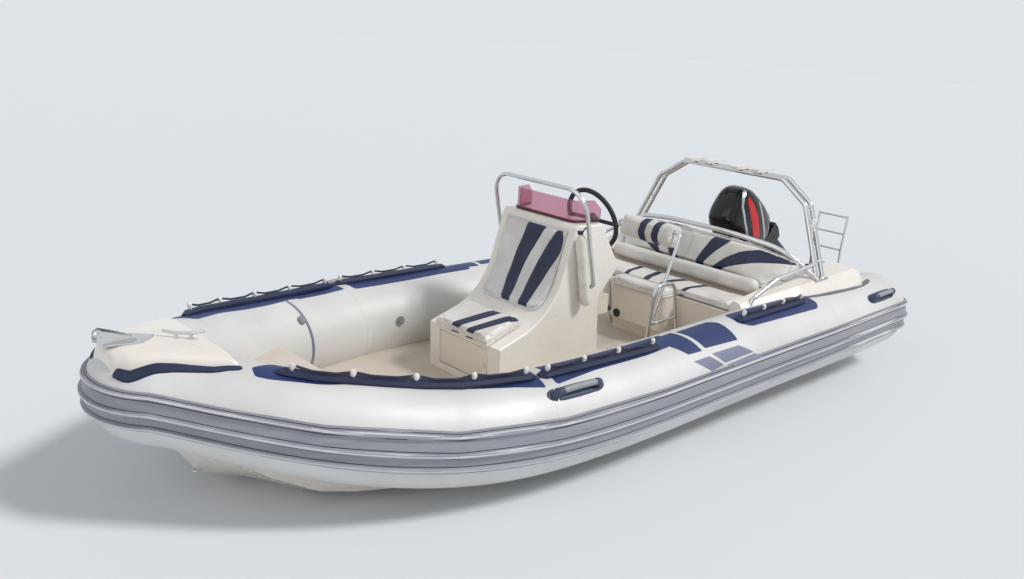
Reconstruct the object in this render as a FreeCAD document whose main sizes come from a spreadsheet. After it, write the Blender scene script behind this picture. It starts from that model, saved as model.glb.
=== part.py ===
import FreeCAD, Part
import Sketcher
import math
import os

# A rigid inflatable boat with a moulded deep-V hull, two air tubes, a helm console, a bench seat,
# a radar arch and one outboard that is tilted up, as such a boat lies at its mooring.
# Frame: +X to the bow, +Y to port, +Z up, origin amidships on the waterline. Millimetres.

V = FreeCAD.Vector
UP = V(0, 0, 1)
SIDEWAYS = V(0, 1, 0)
AHEAD = V(1, 0, 0)
ORIGIN = V(0, 0, 0)
doc = FreeCAD.newDocument("RigidInflatableBoat")
sheet = doc.addObject("Spreadsheet::Sheet", "sizes")

SIZES = [
    # alias, value in millimetres or degrees
    ("clearance", 0.3),
    ("tube_radius", 261),
    ("nose_radius", 220),
    ("nose_centre_x", 2322),
    ("nose_bend", 180),
    ("nose_angle", 49),
    ("nose_height", 566),
    ("seam_x", 900),
    ("strake_skin", 4),
    ("rib_height", 14),
    ("rib_width", 22),
    ("dome_wrap", 62),
    ("transom_x", -2250),
    ("transom_thick", 60),
    ("transom_top", 515),
    ("transom_shoulder", 600),
    ("transom_half", 330),
    ("deck_top", 220),
    ("deck_thick", 15),
    ("step_top", 455),
    ("step_aft_x", 1560),
    ("console_half", 312),
    ("console_top", 1138),
    ("console_sweep", 430),
    ("console_edge", 12),
    ("locker_half", 215),
    ("locker_foot", 262),
    ("locker_top", 468),
    ("cushion_thick", 50),
    ("cushion_edge", 16),
    ("screen_height", 128),
    ("screen_thick", 6),
    ("rail_tube", 25),
    ("rail_bend", 140),
    ("rail_half", 385),
    ("arch_tube", 32),
    ("arch_spread", 74),
    ("arch_bend", 70),
    ("wheel_radius", 192),
    ("wheel_grip", 15),
    ("fender_radius", 29),
    ("bench_front_x", -1000),
    ("bench_top", 540),
    ("seat_front_x", -850),
    ("seat_half", 232),
    ("hoop_y", 292),
    ("hoop_bend", 70),
    ("backrest_reach", 590),
    ("backrest_tube", 22),
    ("backrest_thick", 70),
    ("hook_angle", 79),
    ("rope_diameter", 11),
    ("pad_width", 64),
    ("pad_height", 28),
    ("ladder_tube", 16),
    ("tilt_x", -2275),
    ("tilt_z", 550),
    ("tilt_angle", 51),
    ("steer_x", -75),
    ("column_radius", 36),
    ("propeller_z", -862),
    ("propeller_x", -352),
    ("propeller_radius", 148),
]
for row, (alias, value) in enumerate(SIZES, start=1):
    sheet.set("A%d" % row, alias)
    sheet.set("B%d" % row, str(value))
    sheet.setAlias("B%d" % row, alias)
doc.recompute()


def size(alias):
    """The value of one cell of the sheet."""
    return float(getattr(sheet, alias))


# Measures are written as sums such as "deck_top+4": a number now, and a formula on the sheet


def terms(text):
    """The signed words of a sum."""
    sign, found = 1, []
    for word in str(text).replace("+", " + ").replace("-", " - ").split():
        if word in "+-":
            sign = 1 if word == "+" else -sign
        else:
            found.append((sign, word))
            sign = 1
    return found


def named(text):
    """Whether a sum names a cell of the sheet."""
    return any(word[0].isalpha() for sign, word in terms(text))


def amount(text):
    """What a sum comes to now."""
    total = 0.0
    for sign, word in terms(text):
        total += sign * (size(word) if word[0].isalpha() else float(word))
    return total


def formula(text):
    """The same sum as an expression on the sheet."""
    words = []
    for sign, word in terms(text):
        words.append(("+ " if sign > 0 else "- ") + ("sizes." + word if word[0].isalpha() else word))
    return " ".join(words)


def bind(item, prop, text):
    """Set one property of an object, and tie it to the sheet when the sum names a cell."""
    if named(text):
        item.setExpression(prop, formula(text))
    else:
        setattr(item, prop, amount(text))


NODES = []


def keep(item, name):
    """Name a document object as a finished sub-part."""
    item.Label = name
    NODES.append(item)
    return item


def node(name, shape):
    """Keep a shape that follows the curved tubes, made by Part functions, as a sub-part."""
    item = doc.addObject("Part::Feature", name)
    item.Shape = shape.copy()
    return keep(item, name)


# Sketches and the features that are made from them


def origin_plane(body, role):
    """One of the three origin planes of a body."""
    return [item for item in body.Origin.OriginFeatures if item.Role == role][0]


def flat_sketch(body, role, lift, name):
    """A sketch on an origin plane, lifted along its normal."""
    sketch = body.newObject("Sketcher::SketchObject", name)
    sketch.AttachmentSupport = (origin_plane(body, role), [""])
    sketch.MapMode = "FlatFace"
    sketch.AttachmentOffset = FreeCAD.Placement(V(0, 0, amount(lift)), FreeCAD.Rotation())
    if named(lift):
        sketch.setExpression("AttachmentOffset.Base.z", formula(lift))
    return sketch


def limit(sketch, number, text):
    """Tie a constraint of a sketch to the sheet when its sum names a cell."""
    if named(text):
        sketch.setExpression("Constraints[%d]" % number, formula(text))


def hold(sketch, geometry, point, u, v):
    """Hold one point of a sketch at its distances from the origin."""
    for kind, text, axis in (("DistanceX", u, -2), ("DistanceY", v, -1)):
        if amount(text) == 0:
            sketch.addConstraint(Sketcher.Constraint("PointOnObject", geometry, point, axis))
        else:
            rule = Sketcher.Constraint(kind, -1, 1, geometry, point, amount(text))
            limit(sketch, sketch.addConstraint(rule), text)


def bent_line(sketch, rows, closed):
    """Straight lines through corners, each corner sharp or rounded by its own radius."""
    corners = [V(amount(row[0]), amount(row[1]), 0) for row in rows]
    radii = [row[2] if len(row) > 2 else 0 for row in rows]
    count = len(corners)
    touch = []
    for i, corner in enumerate(corners):
        radius = amount(radii[i])
        if radius == 0:
            touch.append((corner, corner, None))
            continue
        back = (corners[i - 1] - corner).normalize()
        on = (corners[(i + 1) % count] - corner).normalize()
        half = back.getAngle(on) / 2
        reach = radius / math.tan(half)
        middle = corner + (back + on).normalize() * (radius / math.sin(half) - radius)
        touch.append((corner + back * reach, corner + on * reach, middle))
    lines = []
    for i in range(count if closed else count - 1):
        lines.append(sketch.addGeometry(Part.LineSegment(touch[i][1], touch[(i + 1) % count][0])))
    for i in range(count):
        if not closed and i in (0, count - 1):
            continue
        before, after = lines[i - 1], lines[i]
        if touch[i][2] is None:
            sketch.addConstraint(Sketcher.Constraint("Coincident", before, 2, after, 1))
            hold(sketch, after, 1, rows[i][0], rows[i][1])
            continue
        arc = sketch.addGeometry(Part.Arc(touch[i][0], touch[i][2], touch[i][1]))
        start = 1 if (sketch.Geometry[arc].StartPoint - touch[i][0]).Length < 0.01 else 2
        sketch.addConstraint(Sketcher.Constraint("Tangent", before, 2, arc, start))
        sketch.addConstraint(Sketcher.Constraint("Tangent", arc, 3 - start, after, 1))
        rule = Sketcher.Constraint("Radius", arc, amount(radii[i]))
        limit(sketch, sketch.addConstraint(rule), radii[i])
        corner = sketch.addGeometry(Part.Point(corners[i]), True)
        hold(sketch, corner, 1, rows[i][0], rows[i][1])
        sketch.addConstraint(Sketcher.Constraint("PointOnObject", corner, 1, before))
        sketch.addConstraint(Sketcher.Constraint("PointOnObject", corner, 1, after))
    if not closed:
        hold(sketch, lines[0], 1, rows[0][0], rows[0][1])
        hold(sketch, lines[-1], 2, rows[-1][0], rows[-1][1])
    return 2 * count - 1


def circle(sketch, radius):
    """A circle round the sketch's origin."""
    ring = sketch.addGeometry(Part.Circle(ORIGIN, UP, amount(radius)))
    sketch.addConstraint(Sketcher.Constraint("Coincident", ring, 3, -1, 1))
    limit(sketch, sketch.addConstraint(Sketcher.Constraint("Radius", ring, amount(radius))), radius)


def pad(name, role, rows, lift, depth):
    """A body made by padding a closed outline."""
    body = doc.addObject("PartDesign::Body", name)
    sketch = flat_sketch(body, role, lift, name + "_outline")
    bent_line(sketch, rows, True)
    block = body.newObject("PartDesign::Pad", name + "_pad")
    block.Profile = sketch
    bind(block, "Length", depth)
    return body


def turned(name, rows):
    """A body turned about its own upright axis."""
    body = doc.addObject("PartDesign::Body", name)
    sketch = flat_sketch(body, "XZ_Plane", 0, name + "_outline")
    bent_line(sketch, rows, True)
    turning = body.newObject("PartDesign::Revolution", name + "_turn")
    turning.Profile = sketch
    turning.ReferenceAxis = (sketch, ["V_Axis"])
    turning.Angle = 360
    return body


def lofted(name, role, sections, ruled):
    """A body lofted through closed outlines on parallel planes."""
    body = doc.addObject("PartDesign::Body", name)
    sketches = []
    for number, (lift, rows) in enumerate(sections):
        sketch = flat_sketch(body, role, lift, "%s_section_%d" % (name, number))
        bent_line(sketch, rows, True)
        sketches.append(sketch)
    return loft_feature(body, sketches, ruled)


def loft_feature(body, sketches, ruled):
    """The loft through a row of sketches of one body."""
    skin = body.newObject("PartDesign::AdditiveLoft", body.Name + "_loft")
    skin.Profile = sketches[0]
    skin.Sections = sketches[1:]
    skin.Ruled = ruled
    return body


def pipe(name, role, rows, lift, radius):
    """A round bar along a flat path with rounded corners."""
    body = doc.addObject("PartDesign::Body", name)
    path = flat_sketch(body, role, lift, name + "_path")
    bent_line(path, rows, False)
    ring = body.newObject("Sketcher::SketchObject", name + "_ring")
    ring.AttachmentSupport = (path, ["Edge1"])
    ring.MapMode = "NormalToEdge"
    circle(ring, radius)
    sweep = body.newObject("PartDesign::AdditivePipe", name + "_pipe")
    sweep.Profile = ring
    doc.recompute()
    sweep.Spine = (path, ["Edge%d" % (i + 1) for i in range(len(path.Shape.Edges))])
    return body


def rounded(body, radius, wanted):
    """Fillet the edges of a body that pass a test."""
    doc.recompute()
    base = body.Tip
    edges = ["Edge%d" % i for i, edge in enumerate(base.Shape.Edges, start=1) if wanted(edge)]
    turn = body.newObject("PartDesign::Fillet", body.Name + "_round")
    turn.Base = (base, edges)
    bind(turn, "Radius", radius)
    body.Tip = turn
    return body


# Primitives, placing and booleans


def at(item, place, rotation=FreeCAD.Rotation()):
    """Place an object, on top of the place that it has."""
    item.Placement = FreeCAD.Placement(place, rotation).multiply(item.Placement)
    return item


def box(name, x, y, z, length, width, height):
    """A box by its lowest corner and its three sizes."""
    item = doc.addObject("Part::Box", name)
    bind(item, "Length", length)
    bind(item, "Width", width)
    bind(item, "Height", height)
    return at(item, V(amount(x), amount(y), amount(z)))


def rod(name, start, way, radius, length):
    """A cylinder from a point along a direction."""
    item = doc.addObject("Part::Cylinder", name)
    bind(item, "Radius", radius)
    bind(item, "Height", length)
    return at(item, start, FreeCAD.Rotation(UP, way))


def ball(name, centre, radius):
    """A sphere round a point."""
    item = doc.addObject("Part::Sphere", name)
    bind(item, "Radius", radius)
    return at(item, centre)


def together(name, items):
    """One solid out of overlapping objects."""
    item = doc.addObject("Part::MultiFuse", name)
    item.Shapes = items
    item.Refine = True
    return item


def less(name, base, tools):
    """An object with others cut away."""
    for number, tool in enumerate(tools):
        item = doc.addObject("Part::Cut", "%s_cut_%d" % (name, number))
        item.Base = base
        item.Tool = tool
        base = item
    return base


def group(name, items):
    """Several solids kept as one sub-part."""
    item = doc.addObject("Part::Compound", name)
    item.Links = items
    return item


def mirror_of(name, item):
    """The same object on the other side of the boat."""
    twin = doc.addObject("Part::Mirroring", name)
    twin.Source = item
    twin.Base = ORIGIN
    twin.Normal = SIDEWAYS
    return twin


def both_sides(name, item):
    """An object and its starboard twin as one sub-part."""
    return group(name, [item, mirror_of(name + "_twin", item)])


def shape_of(item):
    """The up-to-date shape of a document object."""
    doc.recompute()
    return item.Shape


# Shapes by Part functions, for what follows the curved tubes


def polygon(points):
    """A closed wire through the points."""
    return Part.makePolygon([V(*p) for p in points] + [V(*points[0])])


def mirrored(shape):
    """The same shape on the other side of the boat."""
    return shape.mirror(ORIGIN, SIDEWAYS)


def pair(shape):
    """A port shape and its starboard twin, as one compound."""
    return Part.makeCompound([shape, mirrored(shape)])


def fused(shapes):
    """One shape out of pieces that are joined."""
    whole = shapes[0]
    if len(shapes) > 1:
        whole = whole.fuse(shapes[1:])
    return whole.removeSplitter()


def outward(shape):
    """The same solid with its faces turned outward."""
    if shape.Volume < 0:
        shape.reverse()
    return shape


def largest(shape):
    """The largest solid of a shape."""
    return max(shape.Solids, key=lambda solid: solid.Volume)


def straight_run(start, end, diameter):
    """A straight stretch of round bar."""
    return Part.makeCylinder(diameter / 2, (end - start).Length, start, end - start)


def bend_run(first, corner, last, radius, diameter):
    """A bend of round bar that touches both of its straight neighbours."""
    way = (corner - first).normalize()
    axis = way.cross(last - corner).normalize()
    centre = first + axis.cross(way) * radius
    face = Part.Face(Part.Wire([Part.makeCircle(diameter / 2, first, way)]))
    turn = math.degrees((first - centre).getAngle(last - centre))
    return outward(face.revolve(centre, axis, turn))


def bar(points, radii, diameter):
    """A round bar bent round its inner points, each by its own radius."""
    points = [V(*p) for p in points]
    pieces = []
    start = points[0]
    for before, corner, after, radius in zip(points, points[1:], points[2:], radii):
        a = (before - corner).normalize()
        b = (after - corner).normalize()
        reach = radius / math.tan(a.getAngle(b) / 2)
        first = corner + a * reach
        last = corner + b * reach
        pieces.append(straight_run(start, first, diameter))
        pieces.append(bend_run(first, corner, last, radius, diameter))
        start = last
    pieces.append(straight_run(start, points[-1], diameter))
    return fused(pieces)


# Air tubes: circles in upright planes along a line that curves in plan and rises to the bow

TUBE = [
    # x, y and z of the centre, radius
    (-2462, 829, 393, "tube_radius"),
    (-1500, 850, 368, "tube_radius"),
    (-600, 868, 355, "tube_radius"),
    (190, 884, 340, "tube_radius"),
    (900, 862, 338, "tube_radius"),
    (1400, 757, 361, "tube_radius-7"),
    (1900, 540, 440, "tube_radius-20"),
    (2230, 300, 514, "tube_radius-32"),
]


def nose_station():
    """Centre, direction and radius where the arm meets the round nose."""
    turn = math.radians(size("nose_angle"))
    x = size("nose_centre_x") + size("nose_bend") * math.cos(turn)
    y = size("nose_bend") * math.sin(turn)
    return V(x, y, size("nose_height")), V(math.sin(turn), -math.cos(turn), 0), "nose_radius"


def stations():
    """Every section of the port tube as centre, direction and radius."""
    rows = [V(x, y, z) for x, y, z, radius in TUBE] + [nose_station()[0]]
    found = []
    for i, (x, y, z, radius) in enumerate(TUBE):
        ahead = rows[i + 1] - rows[i]
        behind = rows[i] - rows[max(i - 1, 0)]
        way = V(ahead.x, ahead.y, 0).normalize()
        if i > 0:
            way = way + V(behind.x, behind.y, 0).normalize()
        found.append((rows[i], way.normalize(), radius))
    found.append(nose_station())
    return found


STATIONS = stations()
SEAM = [i for i, row in enumerate(TUBE) if row[0] == size("seam_x")][0]


def arm(name, first, last, grow):
    """The loft through a run of stations."""
    body = doc.addObject("PartDesign::Body", name)
    rings = []
    for number, (centre, way, radius) in enumerate(STATIONS[first:last + 1]):
        ring = flat_sketch(body, "YZ_Plane", 0, "%s_ring_%d" % (name, number))
        yaw = math.degrees(math.atan2(way.y, way.x))
        ring.AttachmentOffset = FreeCAD.Placement(V(centre.y, centre.z, centre.x),
                                                  FreeCAD.Rotation(SIDEWAYS, yaw))
        circle(ring, radius + "+" + grow)
        rings.append(ring)
    return loft_feature(body, rings, False)


def dome(name, grow):
    """The half ball that closes the stern end."""
    centre, way, radius = STATIONS[0]
    half = ball(name, ORIGIN, radius + "+" + grow)
    half.Angle1 = 0
    return at(half, centre, FreeCAD.Rotation(UP, V(-way.x, -way.y, 0)))


def nose(name, grow):
    """The round nose, one upright turn of the tube's section."""
    body = doc.addObject("PartDesign::Body", name)
    sketch = flat_sketch(body, "XZ_Plane", 0, name + "_outline")
    radius = "nose_radius+" + grow
    reach = amount(radius)
    opening = math.acos(-size("nose_bend") / reach)
    centre = V(size("nose_bend"), 0, 0)
    arc = sketch.addGeometry(Part.ArcOfCircle(Part.Circle(centre, UP, reach), -opening, opening))
    rise = math.sqrt(reach ** 2 - size("nose_bend") ** 2)
    line = sketch.addGeometry(Part.LineSegment(V(0, rise, 0), V(0, -rise, 0)))
    sketch.addConstraint(Sketcher.Constraint("Coincident", arc, 2, line, 1))
    sketch.addConstraint(Sketcher.Constraint("Coincident", line, 2, arc, 1))
    sketch.addConstraint(Sketcher.Constraint("PointOnObject", line, 1, -2))
    sketch.addConstraint(Sketcher.Constraint("PointOnObject", line, 2, -2))
    hold(sketch, arc, 3, "nose_bend", 0)
    limit(sketch, sketch.addConstraint(Sketcher.Constraint("Radius", arc, reach)), radius)
    turning = body.newObject("PartDesign::Revolution", name + "_turn")
    turning.Profile = sketch
    turning.ReferenceAxis = (sketch, ["V_Axis"])
    bind(turning, "Angle", "nose_angle+nose_angle")
    return at(body, V(size("nose_centre_x"), 0, size("nose_height")),
              FreeCAD.Rotation(UP, -size("nose_angle")))


def side_tube(name, grow):
    """The port tube from its stern dome to the bow seam."""
    return together(name, [arm(name + "_arm", 0, SEAM, grow), dome(name + "_dome", grow)])


def bow_tube(name, grow):
    """Both bow arms and the nose in one piece."""
    side = arm(name + "_arm", SEAM, len(STATIONS) - 1, grow)
    return together(name, [nose(name + "_nose", grow), side, mirror_of(name + "_arm_twin", side)])


PORT_TUBE = side_tube("tube_body", "0")
keep(PORT_TUBE, "tube_port")
keep(mirror_of("tube_mirror", PORT_TUBE), "tube_starboard")
keep(bow_tube("tube_nose", "0"), "tube_bow")

PORT_SPACE = side_tube("port_space", "clearance")
STARBOARD_SPACE = mirror_of("starboard_space", PORT_SPACE)
BOW_SPACE = bow_tube("bow_space", "clearance")
ALL_TUBES = [PORT_SPACE, STARBOARD_SPACE, BOW_SPACE]
GAP = size("clearance")
PORT_SHAPE = shape_of(PORT_SPACE)
BOW_SHAPE = shape_of(BOW_SPACE)


def clear_of_tubes(shape):
    """Cut away what would lie inside the port and bow tubes and keep the largest solid."""
    return largest(shape.cut(PORT_SHAPE).cut(BOW_SHAPE))


def on_tube(x, angle, height):
    """A point over the port tube: angle from level outboard, height off its skin."""
    for near, far in zip(STATIONS, STATIONS[1:]):
        if near[0].x <= x <= far[0].x:
            break
    share = (x - near[0].x) / (far[0].x - near[0].x)
    centre = near[0] + (far[0] - near[0]) * share
    way = (near[1] + (far[1] - near[1]) * share).normalize()
    radius = amount(near[2]) + (amount(far[2]) - amount(near[2])) * share + height
    outboard = V(-way.y, way.x, 0)
    turn = math.radians(angle)
    return centre + outboard * (radius * math.cos(turn)) + UP * (radius * math.sin(turn))


# Rubbing strake: a thin band with three ribs round the outside of the tubes

RIB_ANGLES = [18.9, 0.2, -15.5]
BAND_TOP = 25
BAND_FOOT = -21


def strake_outline(centre, outboard, radius):
    """The strake's section beside one tube section, sunk a little into the tube."""
    inner = radius - 6
    skin = radius + GAP + size("strake_skin")
    crest = skin + size("rib_height")

    def corner(reach, angle):
        turn = math.radians(angle)
        return centre + outboard * (reach * math.cos(turn)) + UP * (reach * math.sin(turn))

    def arc(reach, start, stop):
        return Part.Arc(corner(reach, start), corner(reach, (start + stop) / 2), corner(reach, stop)).toShape()

    def line(one, other):
        return Part.LineSegment(corner(*one), corner(*other)).toShape()

    half = math.degrees(size("rib_width") / 2 / radius)
    edges = [line((inner, BAND_TOP), (skin, BAND_TOP))]
    start = BAND_TOP
    for rib in RIB_ANGLES:
        edges.append(arc(skin, start, rib + half))
        edges.append(line((skin, rib + half), (crest, rib + half * 0.55)))
        edges.append(line((crest, rib + half * 0.55), (crest, rib - half * 0.55)))
        edges.append(line((crest, rib - half * 0.55), (skin, rib - half)))
        start = rib - half
    edges.append(arc(skin, start, BAND_FOOT))
    edges.append(line((skin, BAND_FOOT), (inner, BAND_FOOT)))
    edges.append(arc(inner, BAND_FOOT, BAND_TOP))
    return Part.Wire(edges)


def strake_side():
    """The port strake along the tube and round its stern dome."""
    outlines = []
    for centre, way, radius in STATIONS:
        outlines.append(strake_outline(centre, V(-way.y, way.x, 0), amount(radius)))
    run = outward(Part.makeLoft(outlines, True, False))
    end = outward(Part.Face(outlines[0]).revolve(STATIONS[0][0], UP, size("dome_wrap")))
    return clear_of_tubes(fused([run, end]))


def strake_nose():
    """The strake round the nose."""
    centre, way, radius = STATIONS[-1]
    face = Part.Face(strake_outline(centre, V(-way.y, way.x, 0), amount(radius)))
    turn = outward(face.revolve(V(size("nose_centre_x"), 0, 0), UP, -2 * size("nose_angle")))
    return clear_of_tubes(turn)


PORT_STRAKE = strake_side()
node("strake_port", PORT_STRAKE)
node("strake_starboard", mirrored(PORT_STRAKE))
node("strake_nose", strake_nose())

# Hull: a deep V of seven-cornered sections under the tubes

HULL = [
    # x, keel z, chine y, chine z, flange y, flange z, top z
    (-2250, -170, 690, 20, 760, 150, 200),
    (-900, -200, 765, 22, 815, 140, 204),
    (300, -200, 790, 26, 830, 130, 204),
    (1000, -182, 740, 36, 790, 140, 204),
    (1450, -150, 620, 42, 690, 190, 204),
    (1700, -125, 520, 46, 576, 210, 235),
    (1850, -100, 450, 62, 500, 235, 280),
    (2010, -5, 340, 120, 400, 270, 330),
    (2150, 50, 225, 190, 300, 300, 370),
    (2256, 112, 130, 260, 215, 330, 400),
    (2390, 290, 60, 352, 110, 400, 430),
]


def hull_block():
    """The hull before the tubes are cut out of it."""
    sections = []
    for x, keel, chine_y, chine_z, flange_y, flange_z, top in HULL:
        inset = flange_y * 0.8
        sections.append((x, [(0, keel), (chine_y, chine_z), (flange_y, flange_z), (inset, top),
                             (-inset, top), (-flange_y, flange_z), (-chine_y, chine_z)]))
    return lofted("hull_block", "YZ_Plane", sections, True)


HULL_BLOCK = hull_block()
keep(less("hull", HULL_BLOCK, ALL_TUBES), "hull")

# Deck: the cockpit sole with the raised bow step moulded in one

SOLE = pad("sole", "XY_Plane", [(-2190, 700), (-600, 720), (700, 720), (1300, 640), (1700, 470), (1700, -470),
                                (1300, -640), (700, -720), (-600, -720), (-2190, -700)],
           "deck_top-deck_thick", "deck_thick")
STEP = pad("bow_step", "XY_Plane", [("step_aft_x", 560), (1850, 400), (2150, 240), (2330, 120), (2330, -120),
                                    (2150, -240), (1850, -400), ("step_aft_x", -560)],
           "deck_top-deck_thick", "step_top-deck_top+deck_thick")
UNDER_STEP = box("under_step", 2100, -400, 150, 300, 800, 190)
DECK = less("deck", together("deck_block", [SOLE, STEP]), [HULL_BLOCK, UNDER_STEP] + ALL_TUBES)
keep(DECK, "deck")

# Transom board with its cut-down top and the shoulders beside the motor

SHOULDER = "transom_shoulder"
TRANSOM = pad("transom_board", "YZ_Plane", [
    (-620, "deck_top"), (620, "deck_top"), (620, SHOULDER), ("transom_half+60", SHOULDER, 30),
    ("transom_half", "transom_top"), ("-transom_half", "transom_top"),
    ("-transom_half-60", SHOULDER, 30), (-620, SHOULDER)], "transom_x", "transom_thick")
keep(less("transom", TRANSOM, [PORT_SPACE, STARBOARD_SPACE]), "transom")

# Side mouldings over the tubes aft, which carry the arch

SIDE_MOULD = [
    # x, inner y, outer y, foot z, inner top z, outer top z
    (-1002, 640, 760, 520, 622, 612),
    (-1500, 640, 860, 300, 700, 690),
    (-2120, 640, 900, 300, 756, 742),
    (-2245, 640, 880, 300, 700, 690),
]
sections = []
for x, inner, outer, foot, inner_top, outer_top in SIDE_MOULD:
    sections.append((x, [(inner, foot), (inner, inner_top - 25), (inner + 30, inner_top),
                         (outer - 45, outer_top), (outer + 25, outer_top - 90), (outer, foot)]))
MOULD = less("side_moulding", lofted("mould_block", "YZ_Plane", sections, True), [PORT_SPACE])
MOULDS = both_sides("both_mouldings", MOULD)
keep(MOULDS, "side_mouldings")

# Bow moulding over the nose, with its roller, cleat and the eye in the stem

BOW_MOULD = [
    # x, half width and height at the foot, half width and height at the top
    (2170, 380, 700, 235, 775),
    (2227, 360, 733, 225, 777),
    (2350, 305, 750, 140, 788),
    (2460, 250, 755, 92, 792),
    (2560, 200, 745, 75, 800),
    (2640, 120, 716, 60, 790),
    (2654, 96, 700, 48, 772),
]
sections = []
for x, foot, foot_z, top, top_z in BOW_MOULD:
    sections.append((x, [(-foot, "step_top"), (foot, "step_top"), (foot, foot_z), (top, top_z),
                         (-top, top_z), (-foot, foot_z)]))
BOW_BLOCK = less("bow_block", lofted("bow_mould", "YZ_Plane", sections, True), [BOW_SPACE])
keep(less("bow_moulding", BOW_BLOCK, [DECK]), "bow_moulding")

CHEEK = [(2515, 800), (2655, 794), (2684, 806), (2680, 852), (2660, 866), (2610, 850), (2515, 812)]


def bow_roller():
    """Two cheek plates, a floor and a grooved roller between them."""
    port = pad("roller_cheek_port", "XZ_Plane", CHEEK, -32, 4)
    starboard = pad("roller_cheek_starboard", "XZ_Plane", CHEEK, 28, 4)
    floor = box("roller_floor", 2515, -32, 800, 105, 64, 5)
    pin = rod("roller_pin", V(2660, -36, 838), SIDEWAYS, 6, 72)
    wheel = turned("roller_wheel", [(0, -26), (20, -26), (20, -20), (12, -8), (12, 8), (20, 20), (20, 26), (0, 26)])
    at(wheel, V(2660, 0, 838), FreeCAD.Rotation(UP, SIDEWAYS))
    return less("bow_roller", together("roller_parts", [port, starboard, floor, pin, wheel]), [BOW_BLOCK])


keep(bow_roller(), "bow_roller")


def bow_cleat():
    """A horn cleat on two legs, set across the moulding's shoulder."""
    parts = [pipe("cleat_horns", "XZ_Plane", [(-91, 38), (-36, 28, 40), (36, 28, 40), (91, 38)], 0, 7)]
    for side in (-32, 32):
        parts.append(rod("cleat_leg", V(side, 0, -6), UP, 8, 34))
        parts.append(rod("cleat_foot", V(side, 0, -6), UP, 15, 12))
    for part in parts:
        at(part, V(2323, 65, 784), FreeCAD.Rotation(UP, -35))
    return less("bow_cleat", together("cleat_parts", parts), [BOW_BLOCK])


keep(bow_cleat(), "bow_cleat")
EYE_ROD = pipe("eye_rod", "XY_Plane", [(-66, -14), (8, -14, 13), (8, 14, 13), (-66, 14)], 0, 5)
at(EYE_ROD, V(2256, 0, 100), FreeCAD.Rotation(SIDEWAYS, 20))
keep(less("bow_eye", EYE_ROD, [HULL_BLOCK]), "bow_eye")

# Grab pads, hooks and lifelines on top of the tubes

GRAB_RUNS = [
    # hooks by their x from the bow aft, ends of the raised pad
    ((2008, 1786, 1530, 1268, 1000), (2065, 945)),
    ((880, 636, 390, 124), (925, 60)),
    ((-738, -950, -1165, -1378), (-684, -1430)),
]
PAD_SHARES = [
    # share of the pad's length, share of its width, share of its height
    (0.0, 0.45, 0.35),
    (0.035, 0.95, 0.92),
    (0.12, 1.0, 1.0),
    (0.35, 1.0, 1.0),
    (0.5, 1.0, 1.0),
    (0.65, 1.0, 1.0),
    (0.88, 1.0, 1.0),
    (0.965, 0.95, 0.92),
    (1.0, 0.45, 0.35),
]


def grab_pad(first, last):
    """One raised rubber pad that follows the tube's curve and tapers at both ends."""
    outlines = []
    angle = size("hook_angle")
    for share, wide, tall in PAD_SHARES:
        x = first + (last - first) * share
        half = math.degrees(size("pad_width") * wide / 2 / size("tube_radius"))
        top = size("pad_height") * tall
        rows = [(-half, -2), (-half, top * 0.5), (-half * 0.6, top), (half * 0.6, top), (half, top * 0.5), (half, -2)]
        outlines.append(polygon([tuple(on_tube(x, angle + turn, height)) for turn, height in rows]))
    return outward(Part.makeLoft(outlines, True, True))


def hook(x):
    """A rope hook: a small foot and a ring that holds the rope."""
    foot = on_tube(x, size("hook_angle"), size("pad_height") - 3)
    head = on_tube(x, size("hook_angle"), size("pad_height") + 20)
    way = (head - foot).normalize()
    post = Part.makeCylinder(8, (head - foot).Length, foot, way)
    collar = Part.makeCylinder(13, 16, head - way * 12, way)
    cap = Part.makeCone(13, 8, 9, head + way * 3, way)
    return fused([post, collar, cap])


def lifeline(places):
    """A rope from hook to hook that sags a little between them."""
    rope = []
    for fore, aft in zip(places, places[1:]):
        points = []
        for share, height in ((0.06, 20), (0.3, 8), (0.7, 8), (0.94, 20)):
            x = fore + (aft - fore) * share
            points.append(tuple(on_tube(x, size("hook_angle"), size("pad_height") + height)))
        rope.append(bar(points, (90, 90), size("rope_diameter")))
    return rope


pads, hooks, ropes = [], [], []
for places, ends in GRAB_RUNS:
    pads.append(clear_of_tubes(grab_pad(ends[1], ends[0])))
    hooks.extend(hook(x) for x in places)
    ropes.extend(lifeline(places))
HOOKS = Part.makeCompound(hooks)
node("grab_pads", pair(Part.makeCompound(pads).cut(HOOKS)))
node("rope_hooks", pair(HOOKS))
node("lifelines", pair(Part.makeCompound(ropes).cut(HOOKS)))

HANDLES = [
    # x, angle up the tube, half length
    (774, 50, 145),
    (-2240, 44, 145),
]
VALVES = [
    # x, angle up the tube
    (1418, 138),
    (657, 166),
    (-400, 140),
]


def carry_handle(x, angle, half):
    """A moulded lifting handle: two feet and a grip that stands off the tube."""
    points = []
    for share, height in ((-1, 4), (-0.62, 40), (0.62, 40), (1, 4)):
        points.append(tuple(on_tube(x + half * share, angle, height)))
    return bar(points, (30, 30), 24)


def valve(x, angle):
    """An inflation valve let into the inner face of the tube."""
    skin = on_tube(x, angle, GAP)
    out = on_tube(x, angle, 9)
    collar = Part.makeCylinder(26, (out - skin).Length, skin, out - skin)
    cap = Part.makeCylinder(18, 5, out, out - skin)
    return fused([collar, cap])


grips = [clear_of_tubes(carry_handle(*row)) for row in HANDLES]
node("carry_handles", pair(Part.makeCompound(grips)))
node("valves", pair(Part.makeCompound([clear_of_tubes(valve(*row)) for row in VALVES])))

# Helm console with its forward seat

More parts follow.
